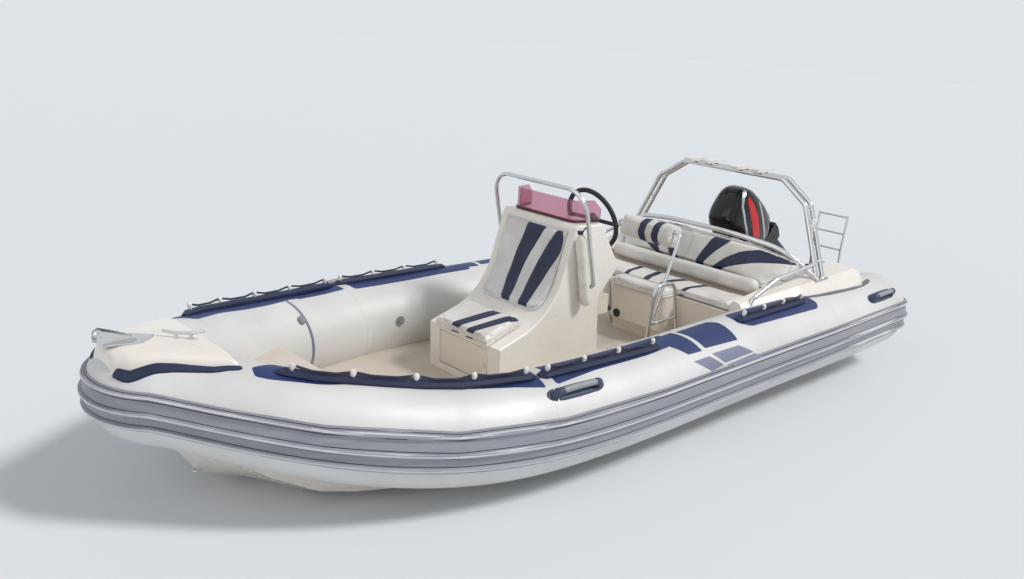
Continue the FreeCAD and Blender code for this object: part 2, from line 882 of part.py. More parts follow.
CONSOLE_SIDE = [
    (-162, "deck_top"), (-128, 690), (-283, 855), (-100, 1128), (104, "console_top"), (120, 1120),
    (258.5, 623.7, "console_sweep"), (650, 492), (636, "deck_top")]
WIDTH = "console_half+console_half"
BLOCK = pad("console_block", "XZ_Plane", CONSOLE_SIDE, "-console_half", WIDTH)
rounded(BLOCK, "console_edge", lambda e: abs(abs(e.CenterOfMass.y) - size("console_half")) < 1
        and e.CenterOfMass.z > size("deck_top") + 10)
HOLLOW = box("locker_space", 400, "-locker_half", "locker_foot", 300, "locker_half+locker_half",
             "locker_top-locker_foot")
keep(less("console", BLOCK, [HOLLOW]), "console")


def locker_door():
    """The flat door in the front of the forward seat, hung on an upright barrel."""
    leaf = box("door_leaf", 626, "-locker_half+6", "locker_foot+8", 16, "locker_half+locker_half-12",
               "locker_top-locker_foot-14")
    knob = rod("door_knob", V(642, 178, 365), AHEAD, 14, 12)
    barrel = rod("door_barrel", V(642, -size("locker_half") + 6, size("locker_foot") + 8), UP, 5,
                 "locker_top-locker_foot-14")
    return together("door", [leaf, knob, barrel])


keep(locker_door(), "locker_door")


def cushion(name, x0, x1, half, z):
    """A plain pad with rounded edges."""
    body = pad(name, "XY_Plane", [(x0, -half), (x1, -half), (x1, half), (x0, half)], z, "cushion_thick")
    return rounded(body, "cushion_edge", lambda edge: True)


FRONT_PAD = at(cushion("front_pad", 0, 285, 240, 0), V(405, 0, 575), FreeCAD.Rotation(SIDEWAYS, 18.6))
keep(less("front_cushion", FRONT_PAD, [BLOCK]), "front_cushion")

PANEL = pad("panel", "XZ_Plane", [(137.7, 1108.8), (270, 634.6, "console_sweep-14"), (500, 557.3), (470, 500),
                                  (220, 600), (100, 1100)], -235, 470)
PANEL_END = box("panel_end", 335, -400, 450, 400, 800, 250)
keep(less("console_pad", PANEL, [BLOCK, PANEL_END]), "console_pad")

SCREEN_PLAN = [(-95, 292), (62, 250), (78, 215)]


def screen_strip(name, thick, height, spread):
    """A strip that runs round the front of the console's top."""
    outer = [(x + spread, y + spread) for x, y in SCREEN_PLAN]
    inner = [(x + spread - thick, y + spread - thick) for x, y in SCREEN_PLAN]
    inner[0] = (outer[0][0], inner[0][1])
    rows = outer + [(x, -y) for x, y in reversed(outer)] + [(x, -y) for x, y in inner] + list(reversed(inner))
    return pad(name, "XY_Plane", rows, "console_top+clearance", height)


SCREEN = screen_strip("screen_blank", size("screen_thick"), "screen_height", 0)
WING_CUT = pad("wing_cut", "XZ_Plane", [(-140, 1168), (20, 1338), (-140, 1338)], -400, 800)
keep(less("windscreen", SCREEN, [WING_CUT]), "windscreen")
TRIM = screen_strip("trim_blank", 16, 14, 5)
keep(less("screen_trim", TRIM, [screen_strip("trim_slot", size("screen_thick") + 1, 40, 0.5)]), "screen_trim")

RAIL_LEAN = 13.7
RAIL_FOOT = V(10, 0, 775)
RAIL_PLACE = FreeCAD.Rotation(SIDEWAYS, RAIL_LEAN)


def console_rail():
    """The hoop that stands on the console's flanks and passes in front of the screen."""
    foot = "console_half+clearance"
    hoop = pipe("rail_hoop", "YZ_Plane", [
        (foot, 0), ("rail_half", 0, 40), ("rail_half", 587, "rail_bend"), ("-rail_half", 587, "rail_bend"),
        ("-rail_half", 0, 40), ("-console_half-clearance", 0)], 0, 12.5)
    at(hoop, RAIL_FOOT, RAIL_PLACE)
    flanges = []
    for side in (1, -1):
        start = V(RAIL_FOOT.x, side * (size("console_half") + GAP), RAIL_FOOT.z)
        flanges.append(rod("rail_flange", start, V(0, side, 0), 24, 6))
    return together("rail", [hoop] + flanges)


RAIL = console_rail()
keep(RAIL, "console_rail")

# Steering wheel on the sloping dash

WHEEL_CENTRE = V(-316, 31, 1088)
WHEEL_AXIS = V(-0.940, 0, 0.342).normalize()
WHEEL_TURN = FreeCAD.Rotation(UP, WHEEL_AXIS)


def steering_wheel():
    """Rim, hub and three spokes, made flat and then leaned onto its shaft."""
    rim = doc.addObject("Part::Torus", "wheel_rim")
    bind(rim, "Radius1", "wheel_radius")
    bind(rim, "Radius2", "wheel_grip")
    parts = [rim, rod("wheel_hub", V(0, 0, -26), UP, 38, 34)]
    for angle in (90, 180, 270):
        spoke = box("wheel_spoke", 0, -12, -6, "wheel_radius", 24, 8)
        parts.append(at(spoke, ORIGIN, FreeCAD.Rotation(UP, angle)))
    for part in parts:
        at(part, WHEEL_CENTRE, WHEEL_TURN)
    return together("wheel", parts)


keep(steering_wheel(), "steering_wheel")
HELM = turned("helm", [(0, -27), (24, -27), (26, -66), (36, -84), (50, -128), (50, -190), (0, -190)])
at(HELM, WHEEL_CENTRE, WHEEL_TURN)
keep(less("helm_housing", HELM, [BLOCK]), "helm_housing")


def throttle_control():
    """The remote control under the dash, with its lever."""
    body = pad("control_box", "XZ_Plane", [(-215, 580), (-210, 575), (-120, 575), (-120, 690), (-210, 690), (-215, 685)], -312, 87)
    lever = pipe("control_lever", "XZ_Plane", [(-170, 640), (-205, 720, 60), (-250, 785)], -268, 7)
    knob = rod("control_knob", V(-250, 243, 785), SIDEWAYS, 14, 50)
    boss = rod("control_boss", V(-175, 200, 640), SIDEWAYS, 20, 40)
    return less("throttle_control", together("control_parts", [body, lever, knob, boss]), [BLOCK])


keep(throttle_control(), "throttle_control")


def fender():
    """A long soft fender that hangs beside the console from the hoop rail."""
    low, high = V(36, 352, 694), V(118, 352, 1075)
    way = (high - low).normalize()
    parts = [rod("fender_body", low, way, "fender_radius", (high - low).Length)]
    parts.append(ball("fender_foot", low, "fender_radius"))
    parts.append(ball("fender_head", high, "fender_radius"))
    parts.append(rod("fender_eye", high + way * 20, way, 9, 26))
    start = high + way * 40
    strap = V(size("rail_half") - 352, 0, 0)
    rail_point = RAIL_FOOT + RAIL_PLACE.multVec(V(0, size("rail_half"), 395))
    parts.append(rod("fender_strap", start, rail_point - start, 4, (rail_point - start).Length))
    return less("fender", together("fender_parts", parts), [RAIL])


keep(fender(), "fender")

# Driver's seat with hoops, flip-over backrest, and the stern bench


def seat_box():
    """The driver's seat base, rounded at its front corners, with a toe recess."""
    back = "bench_front_x+clearance"
    rows = [(back, "deck_top"), ("seat_front_x-60", "deck_top"), ("seat_front_x-60", "deck_top+95"),
            ("seat_front_x", "deck_top+95"), ("seat_front_x", "bench_top"), (back, "bench_top")]
    body = pad("seat_block", "XZ_Plane", rows, "-seat_half", "seat_half+seat_half")
    return rounded(body, 50, lambda e: abs(e.CenterOfMass.x - size("seat_front_x")) < 1
                   and abs(e.CenterOfMass.y) > size("seat_half") - 1 and e.Length > 100)


keep(seat_box(), "seat_box")
keep(cushion("seat_pad", -994, -822, 240, "bench_top+1"), "driver_cushion")


def seat_hoops():
    """An upside-down U of tube beside the seat, with a cross bar that carries the backrest."""
    foot = "deck_top+4"
    y = size("hoop_y")
    hoop = pipe("hoop", "XZ_Plane", [(-640, foot), (-676, 668, "hoop_bend"), (-870, 668, "hoop_bend"),
                                     (-965, foot)], "-hoop_y", 12.5)
    cross = rod("hoop_cross", V(-652, y, 420), V(-1, 0, 0.02), 11, 272)
    feet = [rod("hoop_foot", V(x, y, size("deck_top")), UP, 26, 6) for x in (-640, -966)]
    hole = rod("hoop_hole", V(-716, y - 30, 421), SIDEWAYS, 6.2, 60)
    return less("seat_hoop", together("hoop_parts", [hoop, cross] + feet), [hole])


keep(both_sides("hoops", seat_hoops()), "seat_hoops")

PIVOT = V(-716, 0, 421)
LEAN = FreeCAD.Rotation(SIDEWAYS, -20)
HEAD = PIVOT + LEAN.multVec(V(0, 0, size("backrest_reach")))


def backrest_frame():
    """Two legs on pins with a bar between them that carries the roll."""
    y = size("hoop_y") - 30
    legs = pipe("backrest_legs", "YZ_Plane", [("hoop_y-30", 0), ("hoop_y-30", "backrest_reach", 30),
                                              ("-hoop_y+30", "backrest_reach", 30), ("-hoop_y+30", 0)], 0, 11)
    parts = [at(legs, PIVOT, LEAN)]
    for side in (1, -1):
        parts.append(rod("backrest_eye", PIVOT + V(0, side * y - 10, 0), SIDEWAYS, 16, 20))
        parts.append(rod("backrest_pin", PIVOT + V(0, side * (y + 22) - 30, 0), SIDEWAYS, 6, 60))
    return together("backrest_parts", parts)


keep(backrest_frame(), "backrest_frame")


def backrest_roll():
    """The padded roll that is wrapped round the top bar."""
    body = pad("roll_block", "XZ_Plane", [(-84, -98, 36), (40, -98, 36), (40, 52, 36), (-84, 52, 36)], -214, 428)
    bore = rod("roll_bore", V(0, -260, 0), SIDEWAYS, "11+clearance", 520)
    for part in (body, bore):
        at(part, HEAD, LEAN)
    return less("backrest_pad", body, [bore])


keep(backrest_roll(), "backrest_roll")

BENCH_SIDE = [("bench_front_x", "deck_top"), ("bench_front_x", "bench_top", 8), (-1310, "bench_top"),
              (-1372, "bench_top+96"), (-1420, "bench_top+96"), (-1446, "deck_top")]
BENCH = less("bench", pad("bench_block", "XZ_Plane", BENCH_SIDE, -700, 1400), [MOULDS, PORT_SPACE, STARBOARD_SPACE])
keep(BENCH, "bench")
keep(less("bench_cushion", cushion("bench_pad", -1292, -1004, 636, "bench_top+1"),
          [PORT_SPACE, STARBOARD_SPACE]), "bench_cushion")


def bench_roll():
    """The long bottom roll of the stern backrest."""
    centre = V(-1322, 0, size("bench_top") + 112)
    roll = rod("roll_bar", centre - V(0, 575, 0), SIDEWAYS, 55, 1150)
    ends = [ball("roll_end", centre + V(0, side * 575, 0), 55) for side in (1, -1)]
    return less("bench_roll", together("roll_parts", [roll] + ends), [BENCH])


ROLL = bench_roll()
keep(ROLL, "bench_roll")


MOULD_SHAPES = shape_of(MOULDS)

LADDER_RAILS = (430, 650)
LADDER_PIVOT = V(-2285, 0, 620)


def boarding_ladder():
    """A light folding ladder that stands folded above the transom's port shoulder."""
    x, z = LADDER_PIVOT.x, LADDER_PIVOT.z
    parts = []
    for y in LADDER_RAILS:
        parts.append(pipe("ladder_rail", "XZ_Plane", [(x, z), (x, z + 190, 200), (x - 30, z + 430)], -y, 8))
        parts.append(rod("ladder_eye", V(x, y - 10, z), SIDEWAYS, 13, 20))
    wide = LADDER_RAILS[1] - LADDER_RAILS[0]
    for up, back in ((70, 0), (185, 3), (300, 14), (420, 29)):
        parts.append(rod("ladder_rung", V(x - back, LADDER_RAILS[0], z + up), SIDEWAYS, 7, wide))
    bore = rod("ladder_bore", V(x, 400, z), SIDEWAYS, "6+clearance", 300)
    return less("ladder", together("ladder_parts", parts), [bore])


def ladder_brackets():
    """The ears that hold the ladder's pins."""
    x, z = LADDER_PIVOT.x, LADDER_PIVOT.z
    ears = []
    for y in LADDER_RAILS:
        parts = [box("bracket_base", x - 25, y - 24, z - 20 + GAP, 115, 48, 5)]
        for way in (-19, 14):
            parts.append(box("bracket_ear", x - 14, y + way, z - 17, 28, 5, 31))
        parts.append(rod("bracket_pin", V(x, y - 25, z), SIDEWAYS, 6, 50))
        ears.append(less("bracket", together("bracket_parts", parts), [MOULD]))
    return group("brackets", ears)


keep(boarding_ladder(), "boarding_ladder")
keep(ladder_brackets(), "ladder_brackets")

# Radar arch of two tubes, its pads, and the side grab rails

ARCH_FOOT = V(-1742, 0, 700)
ARCH_LEAN = FreeCAD.Rotation(SIDEWAYS, -6.4)
ARCH_LINE = [(822, 0), (624, 475, "arch_bend"), (419, 614.8, "arch_bend"), (-419, 614.8, "arch_bend"),
             (-624, 475, "arch_bend"), (-822, 0)]


def arch():
    """Two bent tubes side by side, tied by short bars, on plates, with a brace to starboard."""
    half = size("arch_spread") / 2
    parts = []
    for way in (-half, half):
        tube = pipe("arch_tube", "YZ_Plane", ARCH_LINE, 0, 16)
        parts.append(at(tube, ARCH_FOOT + V(way, 0, 0), ARCH_LEAN))
    for y, up in ((774, 115), (694, 307), (632, 456), (400, 614.8)):
        for side in (1, -1):
            place = ARCH_FOOT + ARCH_LEAN.multVec(V(0, side * y, up)) - V(half, 0, 0)
            parts.append(rod("arch_tie", place, AHEAD, 9, 2 * half))
    for side in (1, -1):
        parts.append(box("arch_foot", ARCH_FOOT.x - half - 30, side * 818 - 28, 706, 2 * half + 60, 56, 12))
    return less("arch_metal", together("arch_parts", parts), [MOULDS])


ARCH = arch()


def bench_rail():
    """The stout rail along the top of the stern backrest, down to the arch's feet."""
    port = [(-1712, 816, 706), (-1575, 625, 882), (-1480, 250, 934)]
    points = port + [(x, -y, z) for x, y, z in reversed(port)]
    rail = bar(points, (400, 900, 900, 400), 34)
    return largest(rail.cut(MOULD_SHAPES).cut(shape_of(ARCH)))


BENCH_RAIL = bench_rail()
RAIL_ALONG_BACK = node("bench_rail", BENCH_RAIL)
ARCH_BRACE = bar([(-1790, -677, 1020), (-1735, -585, 1062), (-1625, -425, 1015), (-1503, -345, 905)],
                 (60, 60), 25)
ARCH_SHAPE = largest(fused([shape_of(ARCH), ARCH_BRACE.cut(BENCH_RAIL)]))
node("arch", ARCH_SHAPE)

BACKREST = [
    # y, x of the foot's back edge, x and z of the middle of the top edge
    (735, -1510, -1645, 806),
    (689, -1480, -1616, 823),
    (577, -1430, -1558, 859),
    (452, -1400, -1516, 888),
    (228, -1387, -1484, 906),
    (0, -1385, -1478, 910),
]


def bench_backrest():
    """The stern backrest: a panel that leans aft under its rail and bends round at both ends."""
    half = size("backrest_thick") / 2
    sections = []
    for y, foot, x, z in BACKREST + [(-row[0], *row[1:]) for row in reversed(BACKREST[:-1])]:
        sections.append((-y, [(foot, 640), (foot + 2 * half, 640), (x + half, z), (x - half, z)]))
    body = lofted("back_panel", "XZ_Plane", sections, True)
    cuts = [ROLL, BENCH, MOULDS, PORT_SPACE, STARBOARD_SPACE, RAIL_ALONG_BACK]
    return less("bench_backrest", body, cuts)


keep(bench_backrest(), "bench_backrest")

ARCH_PADS = [
    # y of the fitting, its shift fore and aft
    (-330, 18),
    (-205, -14),
    (60, 16),
    (215, -12),
]
fittings = []
for y, shift in ARCH_PADS:
    fitting = box("arch_fitting", -1810 - 100 + shift, y - 34, "1311+16+clearance", 200, 68, 20)
    fittings.append(fitting)
keep(group("fittings", fittings), "arch_pads")


def grab_rail():
    """The side rail from the bench's corner back to the arch's leg."""
    rail = bar([(-1070, 742, 560), (-1090, 742, 640), (-1330, 752, 742), (-1700, 790, 806)], (60, 60),
               size("rail_tube"))
    return largest(rail.cut(MOULD_SHAPES).cut(shape_of(BENCH)).cut(PORT_SHAPE).cut(ARCH_SHAPE))


node("grab_rails", pair(grab_rail()))

# Outboard, drawn upright about its tilt pin and then swung up

TILT = V(size("tilt_x"), 0, size("tilt_z"))
TILT_TURN = FreeCAD.Rotation(SIDEWAYS, size("tilt_angle"))
CHEEK_SIDE = [
    ("transom_x-4", "transom_top-190"), ("transom_x-clearance", "transom_top-200"),
    ("transom_x-clearance", "transom_top+clearance"), ("transom_x+60+clearance", "transom_top+clearance"),
    ("transom_x+60+clearance", "transom_top-70"), ("transom_x+74", "transom_top-70"),
    ("transom_x+74", "transom_top+22"), ("transom_x-4", "transom_top+72"), ("transom_x-62", "transom_top+62"),
    ("transom_x-62", "transom_top+6"), ("transom_x-40", "transom_top-120")]


def swung(parts):
    """Swing pieces that are drawn upright to the motor's tilted place."""
    for part in parts:
        at(part, TILT, TILT_TURN)
    return parts


def clamp_bracket():
    """Two cheeks that hook over the transom with the tilt pin between them."""
    port = pad("clamp_cheek_port", "XZ_Plane", CHEEK_SIDE, -118, 26)
    starboard = pad("clamp_cheek_starboard", "XZ_Plane", CHEEK_SIDE, 92, 26)
    pin = rod("tilt_pin", TILT - V(0, 105, 0), SIDEWAYS, 13, 210)
    return together("clamp", [port, starboard, pin])


keep(clamp_bracket(), "clamp_bracket")


def swivel_bracket():
    """The arm on the tilt pin that carries the upright steering tube."""
    x = size("steer_x")
    parts = [rod("swivel_eye", V(0, -86, 0), SIDEWAYS, 32, 172)]
    parts.append(box("swivel_web", "steer_x", -60, -40, "-steer_x", 120, 74))
    parts.append(rod("swivel_column", V(x, 0, -288), UP, "column_radius", 325))
    bores = [rod("tilt_bore", V(0, -150, 0), SIDEWAYS, "13+clearance", 300)]
    bores.append(rod("steer_bore", V(x, 0, -320), UP, "17+clearance", 400))
    swung(parts + bores)
    return less("swivel", together("swivel_parts", parts), bores)


keep(swivel_bracket(), "swivel_bracket")

COWL = [
    # height, front x, length, width
    (245, 115, 373, 250),
    (345, 127, 415, 290),
    (550, 123, 411, 284),
    (685, 98, 365, 254),
    (755, 57, 257, 172),
]


def oblong(front, length, width):
    """An oblong round the centre line whose corners are cut by two facets each."""
    middle, half_long, half_wide = front - length / 2, length / 2, width / 2
    reach = half_wide * 0.72
    rows = []
    for across, along in ((1, 1), (-1, 1), (-1, -1), (1, -1)):
        corner = []
        for turn in (0, 45, 90):
            bend = math.radians(turn)
            u = middle + along * (half_long - reach + reach * math.cos(bend))
            corner.append((round(u, 2), round(across * (half_wide - reach + reach * math.sin(bend)), 2)))
        rows.extend(corner if along * across < 0 else reversed(corner))
    return rows


sections = [(z, oblong(front, length, width)) for z, front, length, width in COWL]
keep(swung([lofted("cowl", "XY_Plane", sections, False)])[0], "engine_cowl")


def midsection():
    """The pan, the drive-shaft housing and the splash plate."""
    x = size("steer_x")
    pan = pad("pan", "XZ_Plane", [(115, 244), (115, 205), (30, 150), (-60, 112), (-225, 112),
                                  (-258, 180), (-258, 244)], -120, 240)
    leg = pad("leg", "XZ_Plane", [("steer_x-70", 130), ("steer_x-54", -696), (-300, -696), (-250, 130)], -50, 100)
    rounded(leg, 26, lambda edge: edge.Length > 300)
    post = rod("steer_post", V(x, 0, -316), UP, 17, 440)
    plate = pad("splash_plate", "XY_Plane", [(-90, 80), (-90, -80), (-300, -95), (-430, -50), (-430, 50),
                                             (-300, 95)], -702, 12)
    yoke = box("yoke_low", "steer_x-110", -42, -316, 130, 84, 18)
    tie = box("yoke_high", "steer_x-110", -42, 46, 130, 84, 70)
    return together("midsection", swung([pan, leg, post, plate, yoke, tie]))


keep(midsection(), "midsection")


def gearcase():
    """The strut below the plate, the bullet with the gears, and the skeg."""
    z = size("propeller_z")
    strut = pad("strut", "XZ_Plane", [(-110, -702.3), (-152, -800), (-180, -840), (-330, -840), (-330, -702.3)],
                -22, 44)
    bullet = turned("bullet", [(0, -340), (46, -340), (55, -290), (56, -190), (46, -130), (28, -90), (10, -68),
                               (0, -68)])
    at(bullet, V(0, 0, z), FreeCAD.Rotation(UP, AHEAD))
    skeg = pad("skeg", "XZ_Plane", [(-175, -890), (-235, -1060), (-290, -1060), (-318, -890)], -7, 14)
    shaft = rod("propeller_shaft", V(-440, 0, z), AHEAD, 12, 110)
    return together("gearcase", swung([strut, bullet, skeg, shaft]))


keep(gearcase(), "gearcase")

BLADE = [
    # share of the radius, chord, pitch angle, thickness, skew
    (0.20, 82, 58, 11, 0),
    (0.50, 116, 40, 8, 6),
    (0.80, 106, 30, 5, 18),
    (1.00, 46, 26, 3, 34),
]


def propeller():
    """Hub and three skewed blades lofted along their span, made by Part functions for their twist."""
    x, z = size("propeller_x"), size("propeller_z")
    bore = Part.makeCylinder(12 + GAP, 200, V(x - 140, 0, z), AHEAD)
    parts = [Part.makeCylinder(34, 96, V(x - 92, 0, z), AHEAD)]
    for turn in (0, 120, 240):
        outlines = []
        for share, chord, pitch, thick, skew in BLADE:
            wire = polygon([(-thick / 2, -chord / 2, 0), (thick / 2, -chord / 2, 0), (thick / 2, chord / 2, 0),
                            (-thick / 2, chord / 2, 0)])
            wire.rotate(ORIGIN, UP, pitch)
            wire.translate(V(0, skew, size("propeller_radius") * share))
            outlines.append(wire)
        blade = outward(Part.makeLoft(outlines, True, False))
        blade.rotate(ORIGIN, AHEAD, turn)
        blade.translate(V(x - 46, 0, z))
        parts.append(blade)
    screw = fused(parts).cut(bore)
    screw.rotate(ORIGIN, SIDEWAYS, size("tilt_angle"))
    screw.translate(TILT)
    return largest(screw)


node("propeller", propeller())

doc.recompute()
failed = [item.Label for item in doc.Objects if "Invalid" in item.State or "Error" in item.State]
for item in NODES:
    if item.Shape.isNull() or not item.Shape.isValid():
        failed.append(item.Label)
    print("%-20s solids %2d volume %9.1f cm3 valid %s" % (
        item.Label, len(item.Shape.Solids), item.Shape.Volume / 1000, item.Shape.isValid()))
if failed:
    raise RuntimeError("these sub-parts failed: " + ", ".join(failed))
os.makedirs("parts", exist_ok=True)
for item in NODES:
    shape = item.Shape
    if len(shape.Solids) == 1:
        shape = shape.Solids[0]
    shape.exportStep("parts/%s.step" % item.Label)
print("wrote", len(NODES), "sub-parts")
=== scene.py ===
# %% [markdown]
# # A rigid inflatable boat at rest on flat water
# The shapes come packed from the construction model, in metres: +X to the bow, +Y to port and
# Z from the waterline. This lesson dresses them, and makes the glued, sewn and moulded skins.

# %% Load the frame
import math
import bmesh
import bpy
import numpy as np
from mathutils import Matrix, Vector
from mathutils.bvhtree import BVHTree


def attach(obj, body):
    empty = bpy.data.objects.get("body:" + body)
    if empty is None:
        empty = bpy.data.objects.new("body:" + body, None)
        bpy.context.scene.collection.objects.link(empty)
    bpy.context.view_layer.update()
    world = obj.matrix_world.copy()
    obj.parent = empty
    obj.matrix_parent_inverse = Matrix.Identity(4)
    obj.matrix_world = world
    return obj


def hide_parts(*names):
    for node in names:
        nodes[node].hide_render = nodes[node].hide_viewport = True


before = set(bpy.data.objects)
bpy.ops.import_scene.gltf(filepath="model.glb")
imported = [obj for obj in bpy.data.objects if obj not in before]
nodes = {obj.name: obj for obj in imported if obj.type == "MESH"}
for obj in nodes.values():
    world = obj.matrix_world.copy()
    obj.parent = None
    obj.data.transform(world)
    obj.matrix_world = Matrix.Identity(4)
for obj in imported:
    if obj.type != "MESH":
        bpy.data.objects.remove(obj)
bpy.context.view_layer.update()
scene = bpy.context.scene

# %% [markdown]
# ## Camera
# The boat is seen from ahead on its port side, a little above head height, through a 34 mm
# lens on a 36 mm sensor.

# %% Camera
CAMERA_PLACE = Vector((4.028, 3.967, 2.248))
CAMERA_TURN = (74.1994, -3.8574, 137.8124)
LENS_MM, SENSOR_MM, FAR = 33.85, 36, 200
eye = bpy.data.objects.new("eye", bpy.data.cameras.new("eye"))
scene.collection.objects.link(eye)
eye.location = CAMERA_PLACE
eye.rotation_euler = [math.radians(turn) for turn in CAMERA_TURN]
eye.data.lens = LENS_MM
eye.data.sensor_width = SENSOR_MM
eye.data.clip_end = FAR
scene.camera = eye
print("camera at", tuple(CAMERA_PLACE))

# %% [markdown]
# ## Finishes
# A material is a small graph of nodes. One function adds a node with its settings and links,
# so a finish reads as a list of what goes into what. Colours are hex codes, made linear.

# %% Colours and nodes


def linear(code):
    """An sRGB hex code as linear red, green, blue and a full alpha."""
    parts = [int(code[i:i + 2], 16) / 255 for i in (0, 2, 4)]
    return [p / 12.92 if p <= 0.04045 else ((p + 0.055) / 1.055) ** 2.4 for p in parts] + [1.0]


def feed(material, node, inputs):
    """Give a node's inputs their values, or the sockets that feed them."""
    for key, value in inputs.items():
        if isinstance(value, bpy.types.NodeSocket):
            material.node_tree.links.new(value, node.inputs[key])
        else:
            node.inputs[key].default_value = value
    return node


def add(material, kind, inputs=None, **settings):
    """Add one node with its properties and its inputs."""
    node = material.node_tree.nodes.new(kind)
    for key, value in settings.items():
        setattr(node, key, value)
    return feed(material, node, inputs or {})


def begin(name):
    """A new material with its shader and its object coordinates."""
    material = bpy.data.materials.new(name)
    material.use_nodes = True
    shader = material.node_tree.nodes["Principled BSDF"]
    place = add(material, "ShaderNodeTexCoord").outputs["Object"]
    return material, shader, place


def mix(material, share, one, other):
    """A colour between two others; the colour sockets of a mix node are its sixth and seventh."""
    return add(material, "ShaderNodeMix", {0: share, 6: one, 7: other}, data_type="RGBA").outputs[2]


def cloud(material, place, per_metre, detail=3.0):
    """Soft noise, by how many blobs fall in a metre."""
    return add(material, "ShaderNodeTexNoise",
               {"Vector": place, "Scale": per_metre, "Detail": detail}).outputs[0]


def drift(material, place, per_metre, detail, low, high, one, other, most=1.0):
    """A colour that drifts in clouds from one hex code to another."""
    share = between(material, cloud(material, place, per_metre, detail), low, high, 0.0, most)
    return mix(material, share, linear(one), linear(other))


def cells(material, place, size):
    """Packed round cells of a size in metres, as a height."""
    return add(material, "ShaderNodeTexVoronoi", {"Vector": place, "Scale": 1 / size}).outputs["Distance"]


def stretch(material, place, **turned):
    """Coordinates that are scaled or turned."""
    return add(material, "ShaderNodeMapping", {"Vector": place, **turned}).outputs[0]


def between(material, value, low, high, to_low=0.0, to_high=1.0):
    """A value stretched from one range to another, and held at its ends."""
    return add(material, "ShaderNodeMapRange", {
        "Value": value, "From Min": low, "From Max": high, "To Min": to_low, "To Max": to_high}).outputs[0]


def higher(material, one, other):
    return add(material, "ShaderNodeMath", {0: one, 1: other}, operation="MAXIMUM").outputs[0]


def dent(material, shader, height, depth, strength=1.0):
    """Feed a height to the shader's normal, with its depth in metres."""
    bump = add(material, "ShaderNodeBump", {"Height": height, "Distance": depth, "Strength": strength})
    feed(material, shader, {"Normal": bump.outputs[0]})


def wear(names, material):
    """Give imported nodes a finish."""
    for name in names.split():
        nodes[name].data.materials.clear()
        nodes[name].data.materials.append(material)


# %% [markdown]
# The tubes are polyester cloth coated with silver PVC: a faint regular grain under a satin
# skin. Threads 1 mm apart would be lost in this view, so the grain is drawn at 3 mm. Salt and
# handling leave broad cloudy patches that are a little duller.

# %% Coated tube fabric
THREAD = 0.003


def coated_fabric(name, colour, dull, roughness, metallic):
    """PVC-coated cloth: two tones in broad clouds, a fine grain and a satin skin."""
    material, shader, place = begin(name)
    broad = cloud(material, place, 2.3, 4.0)
    fine = cloud(material, place, 45.0, 3.0)
    tone = mix(material, between(material, broad, 0.35, 0.7), linear(colour), linear(dull))
    speck = between(material, fine, 0.62, 0.8, 0.0, 0.25)
    feed(material, shader, {
        "Base Color": mix(material, speck, tone, linear(dull)), "Metallic": metallic,
        "Roughness": between(material, broad, 0.3, 0.75, roughness - 0.05, roughness + 0.09)})
    dent(material, shader, cells(material, place, THREAD), 0.0002, 0.35)
    return material


SILVER_FABRIC = coated_fabric("silver_coated_fabric", "DAD9D6", "CBCAC6", 0.44, 0.06)
NAVY_FABRIC = coated_fabric("navy_coated_fabric", "12265A", "1B2F62", 0.46, 0.0)
PEWTER_FABRIC = coated_fabric("pewter_coated_fabric", "83869A", "777A8E", 0.34, 0.35)
wear("tube_port tube_starboard tube_bow", SILVER_FABRIC)

# %% [markdown]
# Strakes and grab pads are extruded rubber. It polishes where it rubs and chalks in the sun,
# so its tone drifts in long streaks.

# %% Extruded rubber


def rubber(name, colour, chalk, roughness):
    """Weathered rubber with chalky streaks and a slight pebble."""
    material, shader, place = begin(name)
    streak = cloud(material, stretch(material, place, Scale=(2.0, 9.0, 30.0)), 1.0, 5.0)
    feed(material, shader, {
        "Base Color": mix(material, between(material, streak, 0.4, 0.72), linear(colour), linear(chalk)),
        "Roughness": between(material, streak, 0.3, 0.7, roughness, roughness + 0.15)})
    dent(material, shader, cloud(material, place, 260.0, 2.0), 0.0004, 0.5)
    return material


STRAKE_RUBBER = rubber("grey_strake_rubber", "8E8F98", "9D9DA3", 0.42)
# Pale crest strips: a painted highlight along the strake's rib crests.
CREST_HIGHLIGHT = rubber("painted_crest_highlight", "C3C4C8", "D2D2D2", 0.36)
NAVY_RUBBER = rubber("navy_pad_rubber", "0C1536", "1A2548", 0.5)
BOOT_RUBBER = rubber("slate_boot_rubber", "343B55", "454B62", 0.45)
TRIM_RUBBER = rubber("slate_trim_rubber", "5C5E69", "6E7079", 0.42)
# Black foot strips: painted shade in the narrow gaps beside the strake's rib feet.
GAP_SHADE = rubber("painted_gap_shade", "1B1C20", "2B2C30", 0.5)
GREY_RUBBER = rubber("grey_handle_rubber", "8D9096", "A0A2A6", 0.45)
wear("strake_port strake_starboard strake_nose", STRAKE_RUBBER)
wear("grab_pads", NAVY_RUBBER)
wear("carry_handles", GREY_RUBBER)

# %% [markdown]
# Hull, deck and console are glass fibre with a gelcoat face. Gelcoat is glossy, so it has a
# thin coat. It yellows in clouds, dirt settles on it, and the sole is moulded with a pebble.

# %% Gelcoat


def gelcoat(name, colour, aged, roughness, pebble=0.0, pebble_size=0.006):
    """Moulded glass fibre: warm clouds, a light soil, a thin gloss and, on the sole, a pebble."""
    material, shader, place = begin(name)
    soil = cloud(material, place, 19.0, 6.0)
    tone = drift(material, place, 1.7, 4.0, 0.38, 0.68, colour, aged)
    tone = mix(material, between(material, soil, 0.4, 0.9, 0.0, 0.2), tone, linear(aged))
    feed(material, shader, {
        "Base Color": tone, "Coat Weight": 0.25, "Coat Roughness": 0.12,
        "Roughness": between(material, soil, 0.3, 0.8, roughness, roughness + 0.06)})
    if pebble:
        dent(material, shader, cells(material, place, pebble_size), pebble, 0.6)
    else:
        dent(material, shader, cloud(material, place, 7.0, 0.0), 0.002, 0.25)
    return material


